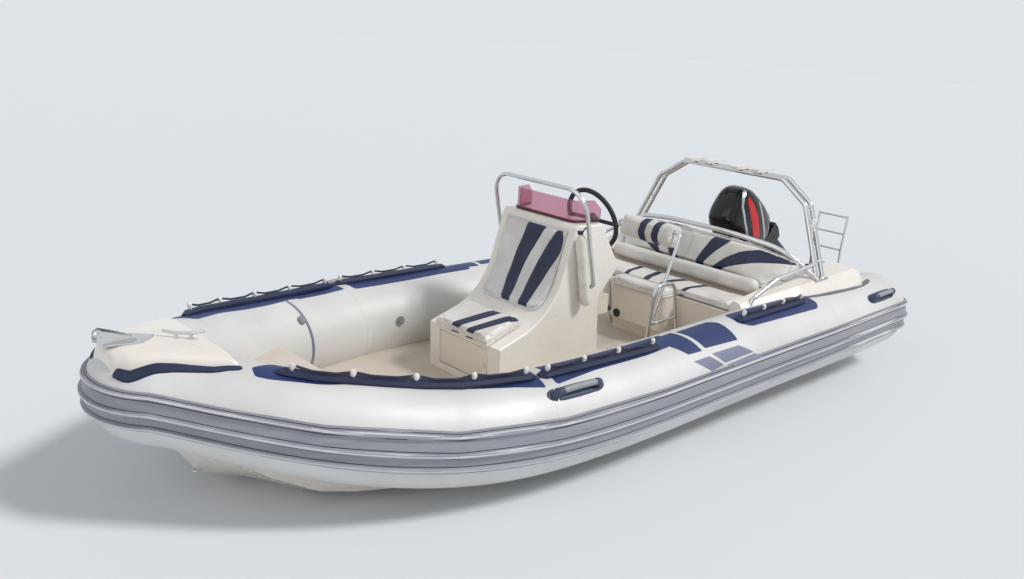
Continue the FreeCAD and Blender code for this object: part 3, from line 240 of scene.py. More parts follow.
WHITE_GELCOAT = gelcoat("white_gelcoat_moulding", "EFE9E0", "E6DED3", 0.24)
CREAM_GELCOAT = gelcoat("cream_gelcoat_moulding", "E8DDD0", "DCD0C1", 0.28)
SOLE_GELCOAT = gelcoat("pebbled_sole_gelcoat", "D9CEC1", "C8BBAB", 0.42, 0.0012)
wear("hull transom side_mouldings bow_moulding console", WHITE_GELCOAT)
wear("bench seat_box locker_door", CREAM_GELCOAT)
wear("deck", SOLE_GELCOAT)

# %% [markdown]
# Rails, hoops, arch, cleat and ladder are polished stainless tube: a mirror with very fine
# polishing lines, on which sea air leaves faint tea-coloured blooms.

# %% Polished stainless steel


def steel(name, colour, roughness):
    """Polished stainless: a metal with fine lines and a little tea stain."""
    material, shader, place = begin(name)
    lines = cloud(material, place, 420.0, 2.0)
    feed(material, shader, {
        "Base Color": drift(material, place, 14.0, 5.0, 0.58, 0.8, colour, "B59C80", 0.55), "Metallic": 1.0,
        "Roughness": between(material, lines, 0.3, 0.7, roughness, roughness + 0.12)})
    return material


STEEL = steel("polished_stainless_steel", "D4D5D6", 0.10)
BRUSHED_ALLOY = steel("cast_alloy", "B8B9BC", 0.30)
wear("bow_cleat bow_eye bow_roller console_rail seat_hoops backrest_frame arch bench_rail grab_rails", STEEL)
wear("boarding_ladder", STEEL)
wear("ladder_brackets propeller", BRUSHED_ALLOY)

# %% [markdown]
# Small fittings are moulded plastic with a fine spark-eroded grain, white for the hooks and
# arch fittings, dark for the helm.

# %% Moulded plastic


def plastic(name, colour, faded, roughness):
    """Moulded plastic with a fine grain and sun-faded clouds."""
    material, shader, place = begin(name)
    tone = drift(material, place, 11.0, 3.0, 0.42, 0.7, colour, faded)
    feed(material, shader, {"Base Color": tone, "Roughness": roughness})
    dent(material, shader, cloud(material, place, 500.0, 2.0), 0.0002, 0.4)
    return material


WHITE_NYLON = plastic("white_moulded_nylon", "E9E8E4", "DAD6CC", 0.38)
CREAM_PLASTIC = plastic("aged_cream_plastic", "DDD5C3", "CFC3AB", 0.45)
DARK_PLASTIC = plastic("dark_grey_plastic", "25262B", "34353A", 0.42)
ENGINE_GREY = plastic("satin_grey_paint", "2A2B30", "383A40", 0.35)
wear("arch_pads rope_hooks", WHITE_NYLON)
wear("throttle_control", CREAM_PLASTIC)
wear("helm_housing", DARK_PLASTIC)
wear("valves", plastic("grey_valve_nylon", "8B8D92", "7B7D82", 0.4))
wear("steering_wheel", plastic("black_grip_foam", "17181B", "26272A", 0.6))
wear("clamp_bracket swivel_bracket", ENGINE_GREY)

# %% [markdown]
# The outboard is lacquered: black paint under a clear coat, with pale specks of dried salt.

# %% Lacquer


def lacquer(name, colour, roughness=0.18, metallic=0.0):
    """Sprayed paint under a clear coat, with dried salt."""
    material, shader, place = begin(name)
    feed(material, shader, {
        "Base Color": drift(material, place, 70.0, 6.0, 0.62, 0.8, colour, "8E9094", 0.08),
        "Roughness": roughness, "Metallic": metallic, "Specular IOR Level": 0.3,
        "Coat Weight": 0.35, "Coat Roughness": 0.04})
    return material


BLACK_LACQUER = lacquer("black_lacquer", "050609", 0.12)
RED_LACQUER = lacquer("red_lacquer", "D20A10")
SILVER_LACQUER = lacquer("silver_lacquer", "B9BBC0", 0.25, 0.7)
wear("engine_cowl midsection gearcase", BLACK_LACQUER)

# %% [markdown]
# The lifelines are braided rope. The strands cross, so two slanted waves are laid over one
# another and the higher one shows. Its colour is painted shade: darker in the hollows between
# strands and lighter on their tops.

# %% Braided rope


def braid(name, colour, light):
    """Braided cord, by waves that cross each other."""
    material, shader, place = begin(name)
    height = None
    for slant in (35, -35):
        turned = stretch(material, place, Rotation=(0, 0, math.radians(slant)))
        wave = add(material, "ShaderNodeTexWave", {"Vector": turned, "Scale": 70.0}).outputs["Color"]
        height = wave if height is None else higher(material, height, wave)
    # Painted shade: the colour darkens in the hollows between strands and lightens on their tops.
    strand = between(material, height, 0.3, 1.0)
    feed(material, shader, {"Base Color": mix(material, strand, linear(colour), linear(light)),
                            "Roughness": 0.8})
    dent(material, shader, height, 0.001, 0.8)
    return material


DARK_BRAID = braid("dark_braided_rope", "15171F", "3A3F52")
wear("lifelines", DARK_BRAID)

# %% [markdown]
# The windscreen is a wine-red acrylic sheet: a clear shader with a coloured base and the
# index of acrylic, 1.49.

# %% Tinted acrylic


def acrylic(name, colour):
    """A clear tinted sheet with a very faint haze."""
    material, shader, place = begin(name)
    feed(material, shader, {"Base Color": drift(material, place, 9.0, 4.0, 0.4, 0.8, colour, "E3C9CF", 0.15),
                            "Transmission Weight": 0.92, "IOR": 1.49, "Roughness": 0.05})
    return material


WINE_ACRYLIC = acrylic("wine_tinted_acrylic", "D79AAD")
WINE_TRIM = plastic("wine_red_trim", "4A1426", "5B2334", 0.35)
wear("windscreen", WINE_ACRYLIC)
wear("screen_trim", WINE_TRIM)

# %% [markdown]
# ## Tubes: the shape that everything is glued to
# The port tube is a row of round sections on a line that curves in plan and rises to the bow,
# with a half ball aft and a round nose. A point on its skin has a run along the boat, an angle
# up from level outboard, and a height off the skin. The run goes on past the first section
# round the stern dome, and past the last one round the nose to the centre line.

# %% Points on the tube
STATIONS = [
    # x, y and z of the centre, radius; NOSE_RUN is the run that stands for one radian round the nose
    (-2.462, 0.829, 0.393, 0.261),
    (-1.500, 0.850, 0.368, 0.261),
    (-0.600, 0.868, 0.355, 0.261),
    (0.190, 0.884, 0.340, 0.261),
    (0.900, 0.862, 0.338, 0.261),
    (1.400, 0.757, 0.361, 0.254),
    (1.900, 0.540, 0.440, 0.241),
    (2.230, 0.300, 0.514, 0.229),
]
NOSE_X, NOSE_Z, NOSE_BEND, NOSE_RADIUS, NOSE_ANGLE = 2.322, 0.566, 0.180, 0.220, math.radians(49)
NOSE_START = Vector((NOSE_X + NOSE_BEND * math.cos(NOSE_ANGLE), NOSE_BEND * math.sin(NOSE_ANGLE), NOSE_Z))
NOSE_RUN = 0.3
NOSE_END = NOSE_START.x + NOSE_RUN * NOSE_ANGLE


def tube_sections():
    """Each section's centre, direction and radius, the nose's first one last."""
    centres = [Vector(row[:3]) for row in STATIONS] + [NOSE_START]
    found = []
    for i, row in enumerate(STATIONS):
        ahead = (centres[i + 1] - centres[i]).to_2d().normalized()
        behind = (centres[i] - centres[max(i - 1, 0)]).to_2d()
        way = ahead if i == 0 else (ahead + behind.normalized()).normalized()
        found.append((centres[i], Vector((way.x, way.y, 0)), row[3]))
    found.append((NOSE_START, Vector((math.sin(NOSE_ANGLE), -math.cos(NOSE_ANGLE), 0)), NOSE_RADIUS))
    return found


SECTIONS = tube_sections()


def tube_line(run):
    """Centre, outboard direction and radius of the tube at a run."""
    if run < SECTIONS[0][0].x:
        centre, way, radius = SECTIONS[0]
        turn = (SECTIONS[0][0].x - run) / radius
        out = Matrix.Rotation(turn, 3, "Z") @ Vector((-way.y, way.x, 0))
        return centre, out, radius
    if run > NOSE_START.x:
        turn = NOSE_ANGLE - (run - NOSE_START.x) / NOSE_RUN
        out = Vector((math.cos(turn), math.sin(turn), 0))
        return Vector((NOSE_X, 0, NOSE_Z)) + out * NOSE_BEND, out, NOSE_RADIUS
    near, far = [(a, b) for a, b in zip(SECTIONS, SECTIONS[1:]) if a[0].x <= run <= b[0].x][0]
    share = (run - near[0].x) / (far[0].x - near[0].x)
    way = near[1].lerp(far[1], share).normalized()
    return near[0].lerp(far[0], share), Vector((-way.y, way.x, 0)), near[2] + (far[2] - near[2]) * share


tube_faces = bmesh.new()
for name in ("tube_port", "tube_bow", "strake_port", "strake_nose"):
    tube_faces.from_mesh(nodes[name].data)
TUBE_SKIN = BVHTree.FromBMesh(tube_faces)
tube_faces.free()
OUTSIDE = 0.2


def tube_point(run, angle, height):
    """A point over the port tube's skin; the angle is in degrees up from level outboard."""
    centre, out, radius = tube_line(run)
    turn = math.radians(angle)
    way = out * math.cos(turn) + Vector((0, 0, math.sin(turn)))
    met = TUBE_SKIN.ray_cast(centre + way * (radius + OUTSIDE), -way, 2 * OUTSIDE)[0]
    return (met if met else centre + way * radius) + way * height


print("tube top at x 0:", [round(v, 3) for v in tube_point(0, 90, 0)])

# %% [markdown]
# ## Glued panels
# The colour on a tube is more coated cloth, glued on. Each panel starts as a flat outline of
# run and angle. It gets rounded corners, is sliced so that it can bend, is thickened, and then
# every corner of the mesh goes to its tube point.

# %% Wrap a flat shape round the tube
ARC = 0.261
SUNK = 0.0006
PANEL_STEP = (0.045, 0.016)


def stand(name, shape):
    """Turn a bmesh into an object of the scene."""
    mesh = bpy.data.meshes.new(name)
    shape.to_mesh(mesh)
    shape.free()
    piece = bpy.data.objects.new(name, mesh)
    scene.collection.objects.link(piece)
    return piece


def shade_smooth(piece):
    for face in piece.data.polygons:
        face.use_smooth = True


def own_piece(name, shape, material, body="boat", smooth=False, stands_for=None):
    """Make an object from a bmesh, dress it and let it ride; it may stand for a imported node."""
    bmesh.ops.recalc_face_normals(shape, faces=shape.faces)
    piece = stand(name, shape)
    piece.data.materials.append(material)
    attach(piece, body)
    if smooth:
        shade_smooth(piece)
    if stands_for:
        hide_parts(stands_for)
    return piece


def corners_of(geometry):
    return [part for part in geometry if isinstance(part, bmesh.types.BMVert)]


def raised(shape, height):
    """Give a flat shape a second layer at a height, joined to it by its sides."""
    layer = bmesh.ops.extrude_face_region(shape, geom=shape.faces[:])["geom"]
    bmesh.ops.translate(shape, vec=(0, 0, height), verts=corners_of(layer))


def everything(shape):
    return shape.verts[:] + shape.edges[:] + shape.faces[:]


def slice_up(shape, step_x, step_y):
    """Cut a flat shape along a grid so that it can bend."""
    for axis, step in ((0, step_x), (1, step_y)):
        low = min(v.co[axis] for v in shape.verts)
        high = max(v.co[axis] for v in shape.verts)
        count = max(1, round((high - low) / step))
        normal = Vector((1, 0, 0)) if axis == 0 else Vector((0, 1, 0))
        for k in range(1, count):
            place = normal * (low + (high - low) * k / count)
            bmesh.ops.bisect_plane(shape, geom=everything(shape), plane_co=place, plane_no=normal, dist=1e-6)


def both_sides(shape):
    """Add the starboard twin of everything in a shape."""
    twin = bmesh.ops.duplicate(shape, geom=everything(shape))["geom"]
    for corner in corners_of(twin):
        corner.co.y = -corner.co.y
    bmesh.ops.reverse_faces(shape, faces=[g for g in twin if isinstance(g, bmesh.types.BMFace)])


def laid(name, shape, thick, put, material, body="boat"):
    """Thicken a flat shape, put each corner on a skin, and make it a piece with its twin."""
    raised(shape, thick)
    for corner in shape.verts:
        corner.co = put(*corner.co)
    both_sides(shape)
    bmesh.ops.remove_doubles(shape, verts=shape.verts[:], dist=1e-5)
    own_piece(name, shape, material, body)


def flat_grid(along, across):
    """A flat grid of one metre by one, about its middle."""
    shape = bmesh.new()
    bmesh.ops.create_grid(shape, x_segments=along, y_segments=across, size=0.5)
    return shape


def wrapped_patch(name, outline, rounding, step, put, material, body="boat", thick=0.0012):
    """A thin patch: an outline is rounded, sliced so that it can bend, and laid on a skin."""
    shape = bmesh.new()
    ring = [shape.verts.new((u, v, 0)) for u, v in outline]
    shape.faces.new(ring)
    bmesh.ops.bevel(shape, geom=ring, affect="VERTICES", offset=rounding, segments=6, profile=0.5,
                    material=-1)
    slice_up(shape, *step)
    laid(name, shape, thick, put, material, body)


def on_tube(run, arc, height):
    """A place on the tube's skin, from a run and a length of arc up from level outboard."""
    return tube_point(run, math.degrees(arc / ARC), height - SUNK)


def glued_panel(name, outline, rounding, material, slot, thick=0.0012):
    """One panel on both side tubes from an outline of (run, angle)."""
    unrolled = [(run, math.radians(angle) * ARC) for run, angle in outline]
    wrapped_patch(name, unrolled, rounding, PANEL_STEP, on_tube, material, thick=thick)


PANELS = [
    # name, finish, rounding, corners as run in metres and degrees up the tube
    ("navy_panel_fore", NAVY_FABRIC, 0.012, [(2.145, 80), (2.128, 66), (2.080, 65), (1.624, 79),
                                             (1.078, 67), (0.930, 61), (0.930, 100), (2.08, 100)]),
    ("navy_panel_mid", NAVY_FABRIC, 0.020, [(0.866, 62), (0.589, 68), (0.281, 69), (-0.004, 72), (-0.078, 85),
                                            (-0.076, 105), (0.866, 105)]),
    ("navy_panel_aft", NAVY_FABRIC, 0.022, [(-0.684, 93), (-0.667, 74), (-0.745, 63), (-1.466, 58),
                                            (-1.513, 66), (-1.514, 87), (-1.47, 100), (-0.72, 104)]),
    ("navy_block_fore", NAVY_FABRIC, 0.006, [(0.032, 80), (-0.077, 53), (-0.196, 52), (-0.173, 84),
                                             (-0.165, 100), (0.0, 97)]),
    ("navy_block_aft", NAVY_FABRIC, 0.010, [(-0.193, 97), (-0.232, 54), (-0.534, 51), (-0.545, 88),
                                            (-0.50, 99)]),
    ("pewter_block_small", PEWTER_FABRIC, 0.008, [(-0.082, 43), (-0.227, 43), (-0.322, 27), (-0.20, 25)]),
    ("pewter_block_top", PEWTER_FABRIC, 0.012, [(-0.255, 45), (-0.515, 44), (-0.62, 30), (-0.335, 29)]),
    ("pewter_block_low", PEWTER_FABRIC, 0.008, [(-0.345, 26), (-0.624, 28), (-0.70, 21), (-0.42, 20)]),
]
for name, finish, rounding, outline in PANELS:
    glued_panel(name, outline, rounding, finish, "navy_rubber" if "navy" in name else "tube_fabric")
print("panels", len(PANELS))

# %% [markdown]
# Tubes are built from several lengths of cloth, and a band of the same cloth covers each
# joint. The widest is pale with a grey edge, on the inner side of the forward cockpit.

# %% Seam bands
BANDS = [
    # name, run of the middle, half width, lowest and highest angle, finish
    ("seam_band_bow", 0.905, 0.0200, 25.5, 205, SILVER_FABRIC),
    ("seam_band_fore", 1.330, 0.0375, 98, 215, SILVER_FABRIC),
    ("seam_edge_fore", 1.385, 0.0110, 98, 215, PEWTER_FABRIC),
    ("seam_band_mid", -0.640, 0.0200, 106, 200, SILVER_FABRIC),
    ("seam_band_aft", -1.620, 0.0200, 25.5, 200, SILVER_FABRIC),
    ("seam_band_dome", -2.440, 0.0180, 25.5, 200, SILVER_FABRIC),
]
for name, run, half, low, high, finish in BANDS:
    outline = [(run - half, low), (run + half, low), (run + half, high), (run - half, high)]
    glued_panel(name, outline, 0.004, finish, "tube_fabric", 0.0014)
print("bands", len(BANDS))

# %% [markdown]
# The strake's three ribs carry a painted highlight on their crests and painted shade in the
# narrow gaps beside their feet, and the web between them is only a skin proud of the tube.
# Thin strips follow each of these from the stern dome to the middle of the nose.

# %% Strips along the strake
DOME_START = STATIONS[0][0] - math.radians(60) * ARC
STRIP_CELLS = 150
STRIP_SUNK = 0.0004
STRIPS = [
    # name, finish, width and thickness in metres, cells across, angles in degrees up the tube
    # The crest strips are a painted highlight, and the foot strips are painted shade.
    ("rib_crest_highlight", CREST_HIGHLIGHT, (0.011,), 0.0012, 2, (18.9, 0.2, -15.5)),
    ("rib_foot_shade", GAP_SHADE, (0.0035,), 0.0011, 1, (22.1, 15.7, 3.4, -3.0, -12.3, -18.7)),
    ("strake_web", STRAKE_RUBBER, (0.0125, 0.0560, 0.0420, 0.0115), 0.0008, 4, (23.6, 9.55, -7.65, -20.0)),
]


def strip(name, angle, width, thick, material, across):
    """A long narrow strip that follows the tube on both sides, from the dome to the nose."""

    def put(along, side, height):
        run = DOME_START + (NOSE_END - DOME_START) * (along + 0.5)
        return tube_point(run, angle + math.degrees(side * width / ARC), height - STRIP_SUNK)

    laid(name, flat_grid(STRIP_CELLS, across), thick, put, material)


for name, finish, widths, thick, across, angles in STRIPS:
    for number, angle in enumerate(angles):
        strip("%s_%d" % (name, number), angle, widths[number % len(widths)], thick, finish, across)
    print(name, len(angles))

# %% [markdown]
# ## Trim lines on the tube
# Where a moulding meets a tube, a soft rubber bead covers the glue line. A bead is a flat grid
# laid along a measured path on the tube's skin, raised in a half round, with tapered tips.

# %% Beads along a path


def smooth_path(path, count):
    """Evenly shared points on a path, its corners eased by averaging."""
    corners = np.array(path)
    steps = np.r_[0, np.cumsum(np.linalg.norm(np.diff(corners, axis=0), axis=1))]
    even = np.linspace(0, steps[-1], count)
    found = np.stack([np.interp(even, steps, corners[:, k]) for k in range(3)], 1)
    for _ in range(6):
        found[1:-1] = found[:-2] * 0.25 + found[1:-1] * 0.5 + found[2:] * 0.25
    return [Vector(point) for point in found]


BEAD_ROOT = 0.002
BEAD_LIFT = 0.0004
NARROW = 0.02
TIP_SHARE = 0.02


def bead(name, path, widths, thick, material, tips=(0.03, 0.03), count=90):
    """A half-round bead on the tube; widths are spread along the path, tips are shares of it."""
    line = smooth_path(path, count + 1)

    def put(along, across, top):
        step = min(count, max(0, round((along + 0.5) * count)))
        share = step / count
        way = (line[min(step + 1, count)] - line[max(step - 1, 0)]).normalized()
        skin, out = TUBE_SKIN.find_nearest(line[step])[:2]
        side = out.cross(way).normalized()
        width = float(np.interp(share, np.linspace(0, 1, len(widths)), widths))
        end = min(share / tips[0], (1 - share) / tips[1], 1.0)
        width *= math.sqrt(max(0.0, 1 - (1 - end) ** 2)) + TIP_SHARE
        spot, out = TUBE_SKIN.find_nearest(skin + side * across * width)[:2]
        dome = math.sqrt(max(0.0, 1 - (2 * across) ** 2)) * min(1.0, width / NARROW)
        return spot + out * (top * thick * dome - (1 - top) * BEAD_ROOT + BEAD_LIFT)

    laid(name, flat_grid(count, 8), 1.0, put, material)


BOW_BEAD = [(2.645, 0.118, 0.712), (2.628, 0.168, 0.706), (2.612, 0.193, 0.707), (2.571, 0.216, 0.726),
            (2.520, 0.238, 0.742), (2.456, 0.269, 0.741), (2.388, 0.310, 0.735), (2.318, 0.350, 0.729),
            (2.262, 0.365, 0.729), (2.205, 0.388, 0.727)]
STERN_BEAD = [(-1.343, 0.815, 0.624), (-1.406, 0.839, 0.627), (-1.515, 0.880, 0.627), (-1.663, 0.900, 0.626),
              (-1.834, 0.909, 0.626), (-2.017, 0.915, 0.627), (-2.149, 0.913, 0.631), (-2.246, 0.899, 0.637),
              (-2.300, 0.885, 0.642)]
bead("bow_foot_bead", BOW_BEAD, (0.050, 0.058, 0.052, 0.042, 0.034, 0.028), 0.010, NAVY_RUBBER,
     (0.005, 0.05))
bead("stern_foot_bead", STERN_BEAD, (0.016, 0.024, 0.030, 0.034, 0.036), 0.008, TRIM_RUBBER)
print("beads", 2)

# %% [markdown]
# The lifting handles are moulded rubber: a slate base plate, a fat round grip that arches
# over it, and a boot round each end. A grip is a curve whose points have their own radius.

# %% Lifting handles
HANDLE_SPOTS = [(0.774, 50), (-2.240, 44)]
HANDLE_HALF = 0.145
PLATE_REACH = 1.22
GRIP_THICK, BOOT_THICK = 0.0155, 0.0205


def swept(shape, points, radii, thick):
    """Add a round bar to a shape, through points that each have a share of the thickness."""
    data = bpy.data.curves.new("bar", "CURVE")
    data.dimensions = "3D"
    line = data.splines.new("NURBS")
    line.points.add(len(points) - 1)
    for point, place, radius in zip(line.points, points, radii):
        point.co = (*place, 1)
        point.radius = radius
    line.order_u = 3
    line.use_endpoint_u = True
    data.bevel_depth = thick
    data.bevel_resolution = 5
    data.use_fill_caps = True
    holder = bpy.data.objects.new("bar", data)
    scene.collection.objects.link(holder)
    bpy.context.view_layer.update()
    graph = bpy.context.evaluated_depsgraph_get()
    mesh = bpy.data.meshes.new_from_object(holder.evaluated_get(graph))
    bpy.data.objects.remove(holder)
    shape.from_mesh(mesh)


GRIP_ROWS = [(-1.0, 0.004), (-0.93, 0.020), (-0.72, 0.037), (-0.3, 0.041), (0.3, 0.041), (0.72, 0.037),
             (0.93, 0.020), (1.0, 0.004)]
BOOT_ROWS = [(0.99, 0.002), (0.95, 0.014), (0.84, 0.030), (0.70, 0.036)]
BOOT_SHARES = [1.0, 1.12, 1.1, 0.9]


def over(spot, rows, half):
    """Places along the tube at a spot, from shares of a half length and heights."""
    return [tube_point(spot[0] + half * share, spot[1], height) for share, height in rows]


grips, boots = bmesh.new(), bmesh.new()
for number, spot in enumerate(HANDLE_SPOTS):
    swept(grips, over(spot, GRIP_ROWS, HANDLE_HALF), [1.0] * len(GRIP_ROWS), GRIP_THICK)
    for end in (-1, 1):
        swept(boots, over(spot, BOOT_ROWS, HANDLE_HALF * end), BOOT_SHARES, BOOT_THICK)
    line = over(spot, [(share, 0) for share in (-1, -0.5, 0, 0.5, 1)], HANDLE_HALF * PLATE_REACH)
    bead("handle_plate_%d" % number, line, (0.066, 0.074, 0.066), 0.006, BOOT_RUBBER,
         (0.16, 0.16), 60)
for name, shape, finish in (("handle_grips", grips, GREY_RUBBER), ("handle_boots", boots, BOOT_RUBBER)):
    both_sides(shape)
    own_piece(name, shape, finish, smooth=True, stands_for="carry_handles")
print("handles", 2 * len(HANDLE_SPOTS))

# %% [markdown]
# ## Bow moulding
# The moulding bridges the tubes at the bow: a glass-fibre cap with steep rounded sides, a
# nearly flat top and a chamfered prow. It is lofted: a row of a table gives half a section,
# the rings are bridged, and a subdivision surface rounds them. Its foot is creased.

# %% Bow moulding
CAP_ROWS = [
    # x, then half width and height at the foot, the shoulder and the edge of the top, then the middle
    (2.190, 0.370, 0.700, 0.360, 0.718, 0.250, 0.730, 0.734),
    (2.214, 0.364, 0.722, 0.349, 0.754, 0.242, 0.768, 0.772),
    (2.240, 0.356, 0.727, 0.334, 0.766, 0.225, 0.777, 0.780),
    (2.350, 0.304, 0.738, 0.284, 0.779, 0.170, 0.788, 0.790),
    (2.460, 0.252, 0.746, 0.232, 0.788, 0.130, 0.797, 0.799),
    (2.560, 0.206, 0.738, 0.187, 0.788, 0.100, 0.798, 0.800),
    (2.600, 0.182, 0.722, 0.166, 0.782, 0.090, 0.796, 0.799),
    (2.640, 0.128, 0.706, 0.116, 0.762, 0.070, 0.785, 0.788),
    (2.656, 0.104, 0.700, 0.094, 0.742, 0.056, 0.762, 0.765),
]
CAP_LOW = 0.456
FOOT_TOP, PROW_HALF, SOFT_CREASE = 0.75, 0.09, 0.25


def finer(piece, levels):
    """Round a piece by a subdivision surface."""
    rounding = piece.modifiers.new("round", "SUBSURF")
    rounding.levels = levels
    rounding.render_levels = levels


def lofted(rings):
    """Bridge rings of places into one closed skin with a cap at each end."""
    shape = bmesh.new()
    before = None
    for number, ring in enumerate(rings):
        corners = [shape.verts.new(place) for place in ring]
        edges = [shape.edges.new((a, b)) for a, b in zip(corners, corners[1:] + corners[:1])]
        if before:
            bmesh.ops.bridge_loops(shape, edges=before + edges)
        if number in (0, len(rings) - 1):
            shape.faces.new(corners)
        before = edges
    return shape


def cap_ring(x, foot, foot_z, shoulder, shoulder_z, top, top_z, middle_z):
    half = [(foot, CAP_LOW), (foot, foot_z), (shoulder, shoulder_z), (top, top_z)]
    return ([Vector((x, y, z)) for y, z in half] + [Vector((x, 0, middle_z))]
            + [Vector((x, -y, z)) for y, z in half[::-1]])


cap_shape = lofted([cap_ring(*row) for row in CAP_ROWS])
crease = cap_shape.edges.layers.float.new("crease_edge")
for edge in cap_shape.edges:
    foot = all(v.co.z < FOOT_TOP and abs(v.co.y) > PROW_HALF for v in edge.verts)
    aft_end = all(abs(v.co.x - CAP_ROWS[0][0]) < 1e-4 for v in edge.verts)
    edge[crease] = 1.0 if foot or aft_end else SOFT_CREASE
cap = own_piece("bow_cap", cap_shape, WHITE_GELCOAT, smooth=True, stands_for="bow_moulding")
finer(cap, 3)
print("bow cap", len(CAP_ROWS))

# %% [markdown]
# A polished steel plate lies on the cap behind the anchor roller, with a point aft. It is a
# flat outline, thickened, its edges eased by a narrow bevel.

# %% Steel plate behind the roller
PLATE = [(2.655, 0.046), (2.655, -0.046), (2.560, -0.062), (2.505, -0.066), (2.425, 0.0), (2.505, 0.066),
         (2.560, 0.062)]


def eased(shape, offset):
    """Round every edge of a shape a little."""
    bmesh.ops.bevel(shape, geom=shape.edges[:], affect="EDGES", offset=offset, segments=2, profile=0.5,
                    material=-1)


def cut_sheet(outline, low, thick, ease):
    """A flat outline as sheet metal with eased edges."""
    shape = bmesh.new()
    shape.faces.new([shape.verts.new((x, y, low)) for x, y in outline])
    raised(shape, thick)
    bmesh.ops.recalc_face_normals(shape, faces=shape.faces)
    eased(shape, ease)
    return shape


own_piece("bow_plate", cut_sheet(PLATE, 0.799, 0.008, 0.0016), STEEL)
print("plate", len(PLATE))

# %% [markdown]
# ## Outboard cowl
# The cowl's flat-sided rounded sections lean and shrink towards the crown. The motor is
# parked tilted up, so the sections are given in its own upright frame, forward and up from
# the tilt tube, and are turned with it.

# %% Cowl
TILT = math.radians(51)
TILT_TUBE = Vector((-2.275, 0, 0.550))


def on_motor(fore, side, up):
    """A place in the motor's upright frame, in metres, as it stands tilted."""
    return TILT_TUBE + Vector((fore * math.cos(TILT) + up * math.sin(TILT), side,
                               up * math.cos(TILT) - fore * math.sin(TILT)))


COWL_ROWS = [
    # height, front, length and width, in metres
    (0.246, 0.108, 0.360, 0.236),
    (0.262, 0.113, 0.372, 0.250),
    (0.345, 0.126, 0.412, 0.286),
    (0.450, 0.127, 0.418, 0.291),
    (0.550, 0.123, 0.411, 0.284),
    (0.640, 0.108, 0.384, 0.266),
    (0.705, 0.084, 0.332, 0.234),
    (0.742, 0.052, 0.262, 0.186),
    (0.757, 0.020, 0.180, 0.120),
]
SQUARE = 0.62
COWL_STEP = (0.012, 0.012)
COWL_CORNERS = 48
BESIDE, REACH, NEAR_SIDE = 0.4, 0.6, 0.1
BAND_SUNK = 0.0004


def squarish(value):
    return math.copysign(abs(value) ** SQUARE, value)


def cowl_ring(height, front, length, width):
    turns = [math.radians(360 / COWL_CORNERS * k) for k in range(COWL_CORNERS)]
    return [on_motor(front - length / 2 + length / 2 * squarish(math.cos(t)),
                     width / 2 * squarish(math.sin(t)), height) for t in turns]


cowl_shape = lofted([cowl_ring(*row) for row in COWL_ROWS])
bmesh.ops.recalc_face_normals(cowl_shape, faces=cowl_shape.faces)
COWL_SKIN = BVHTree.FromBMesh(cowl_shape)
own_piece("cowl", cowl_shape, BLACK_LACQUER, "engine", True, "engine_cowl")


def on_cowl(fore, up, height):
    """The cowl's port skin at a place in the motor's side view, raised by a height."""
    met, out = COWL_SKIN.ray_cast(on_motor(fore, BESIDE, up), Vector((0, -1, 0)), REACH)[:2]
    if met is None:
        met, out = COWL_SKIN.find_nearest(on_motor(fore, NEAR_SIDE, up))[:2]
    return met + out * (height - BAND_SUNK)


def cowl_band(name, line, width, finish):
    """A painted band along a line in the motor's side view."""
    across = [Vector((b[1] - a[1], a[0] - b[0])).normalized() * width / 2 for a, b in zip(line, line[1:])]
    across.append(across[-1])
    outline = [Vector(p) + w for p, w in zip(line, across)]
    outline += [Vector(p) - w for p, w in zip(line, across)][::-1]
    wrapped_patch(name, outline, width * 0.2, COWL_STEP, on_cowl, finish, "engine")


cowl_band("cowl_edge_silver", [(-0.222, 0.722), (-0.150, 0.722), (-0.095, 0.700), (-0.028, 0.610),
                               (0.024, 0.505), (0.045, 0.400)], 0.020, SILVER_LACQUER)
cowl_band("cowl_foot_silver", [(-0.232, 0.560), (-0.141, 0.400), (-0.092, 0.300)], 0.022, SILVER_LACQUER)
RED_FIELD = [(-0.190, 0.690), (-0.150, 0.676), (-0.056, 0.523), (-0.009, 0.448), (-0.030, 0.400),
             (-0.053, 0.366), (-0.095, 0.440), (-0.137, 0.507), (-0.171, 0.600)]
wrapped_patch("cowl_red_field", RED_FIELD, 0.006, COWL_STEP, on_cowl, RED_LACQUER, "engine")
print("cowl bands", 3)

# %% [markdown]
# ## Fender
# The fender is a blown vinyl tube with a moulded eye, tied short to the hoop rail. It is spun:
# half its outline is turned once round its axis.

# %% Fender
FENDER_FOOT = Vector((0.036, 0.352, 0.694))
FENDER_HEAD = Vector((0.118, 0.352, 1.075))
FENDER_HALF = [(0.0, -0.029), (0.013, -0.027), (0.024, -0.018), (0.030, -0.002), (0.032, 0.030),
               (0.032, 0.180), (0.032, 0.345), (0.030, 0.378), (0.023, 0.396), (0.015, 0.405),
               (0.0115, 0.416), (0.0115, 0.432), (0.007, 0.440), (0.0, 0.442)]
FENDER_TURN = (FENDER_HEAD - FENDER_FOOT).to_track_quat("Z", "Y").to_matrix().to_4x4()


def spun(shape, outline, steps, place):
    """Turn half an outline of (radius, height) once round its axis, and put it in its place."""
    chain = [shape.verts.new((radius, 0, height)) for radius, height in outline]
    profile = chain + [shape.edges.new(pair) for pair in zip(chain, chain[1:])]
    bmesh.ops.spin(shape, geom=profile, cent=(0, 0, 0), axis=(0, 0, 1), angle=math.tau, steps=steps,
                   use_merge=True)
    bmesh.ops.remove_doubles(shape, verts=[v for v in shape.verts if not v.tag], dist=1e-5)
    fresh = [v for v in shape.verts if not v.tag]
    bmesh.ops.transform(shape, matrix=place, verts=fresh)
    for corner in fresh:
        corner.tag = True


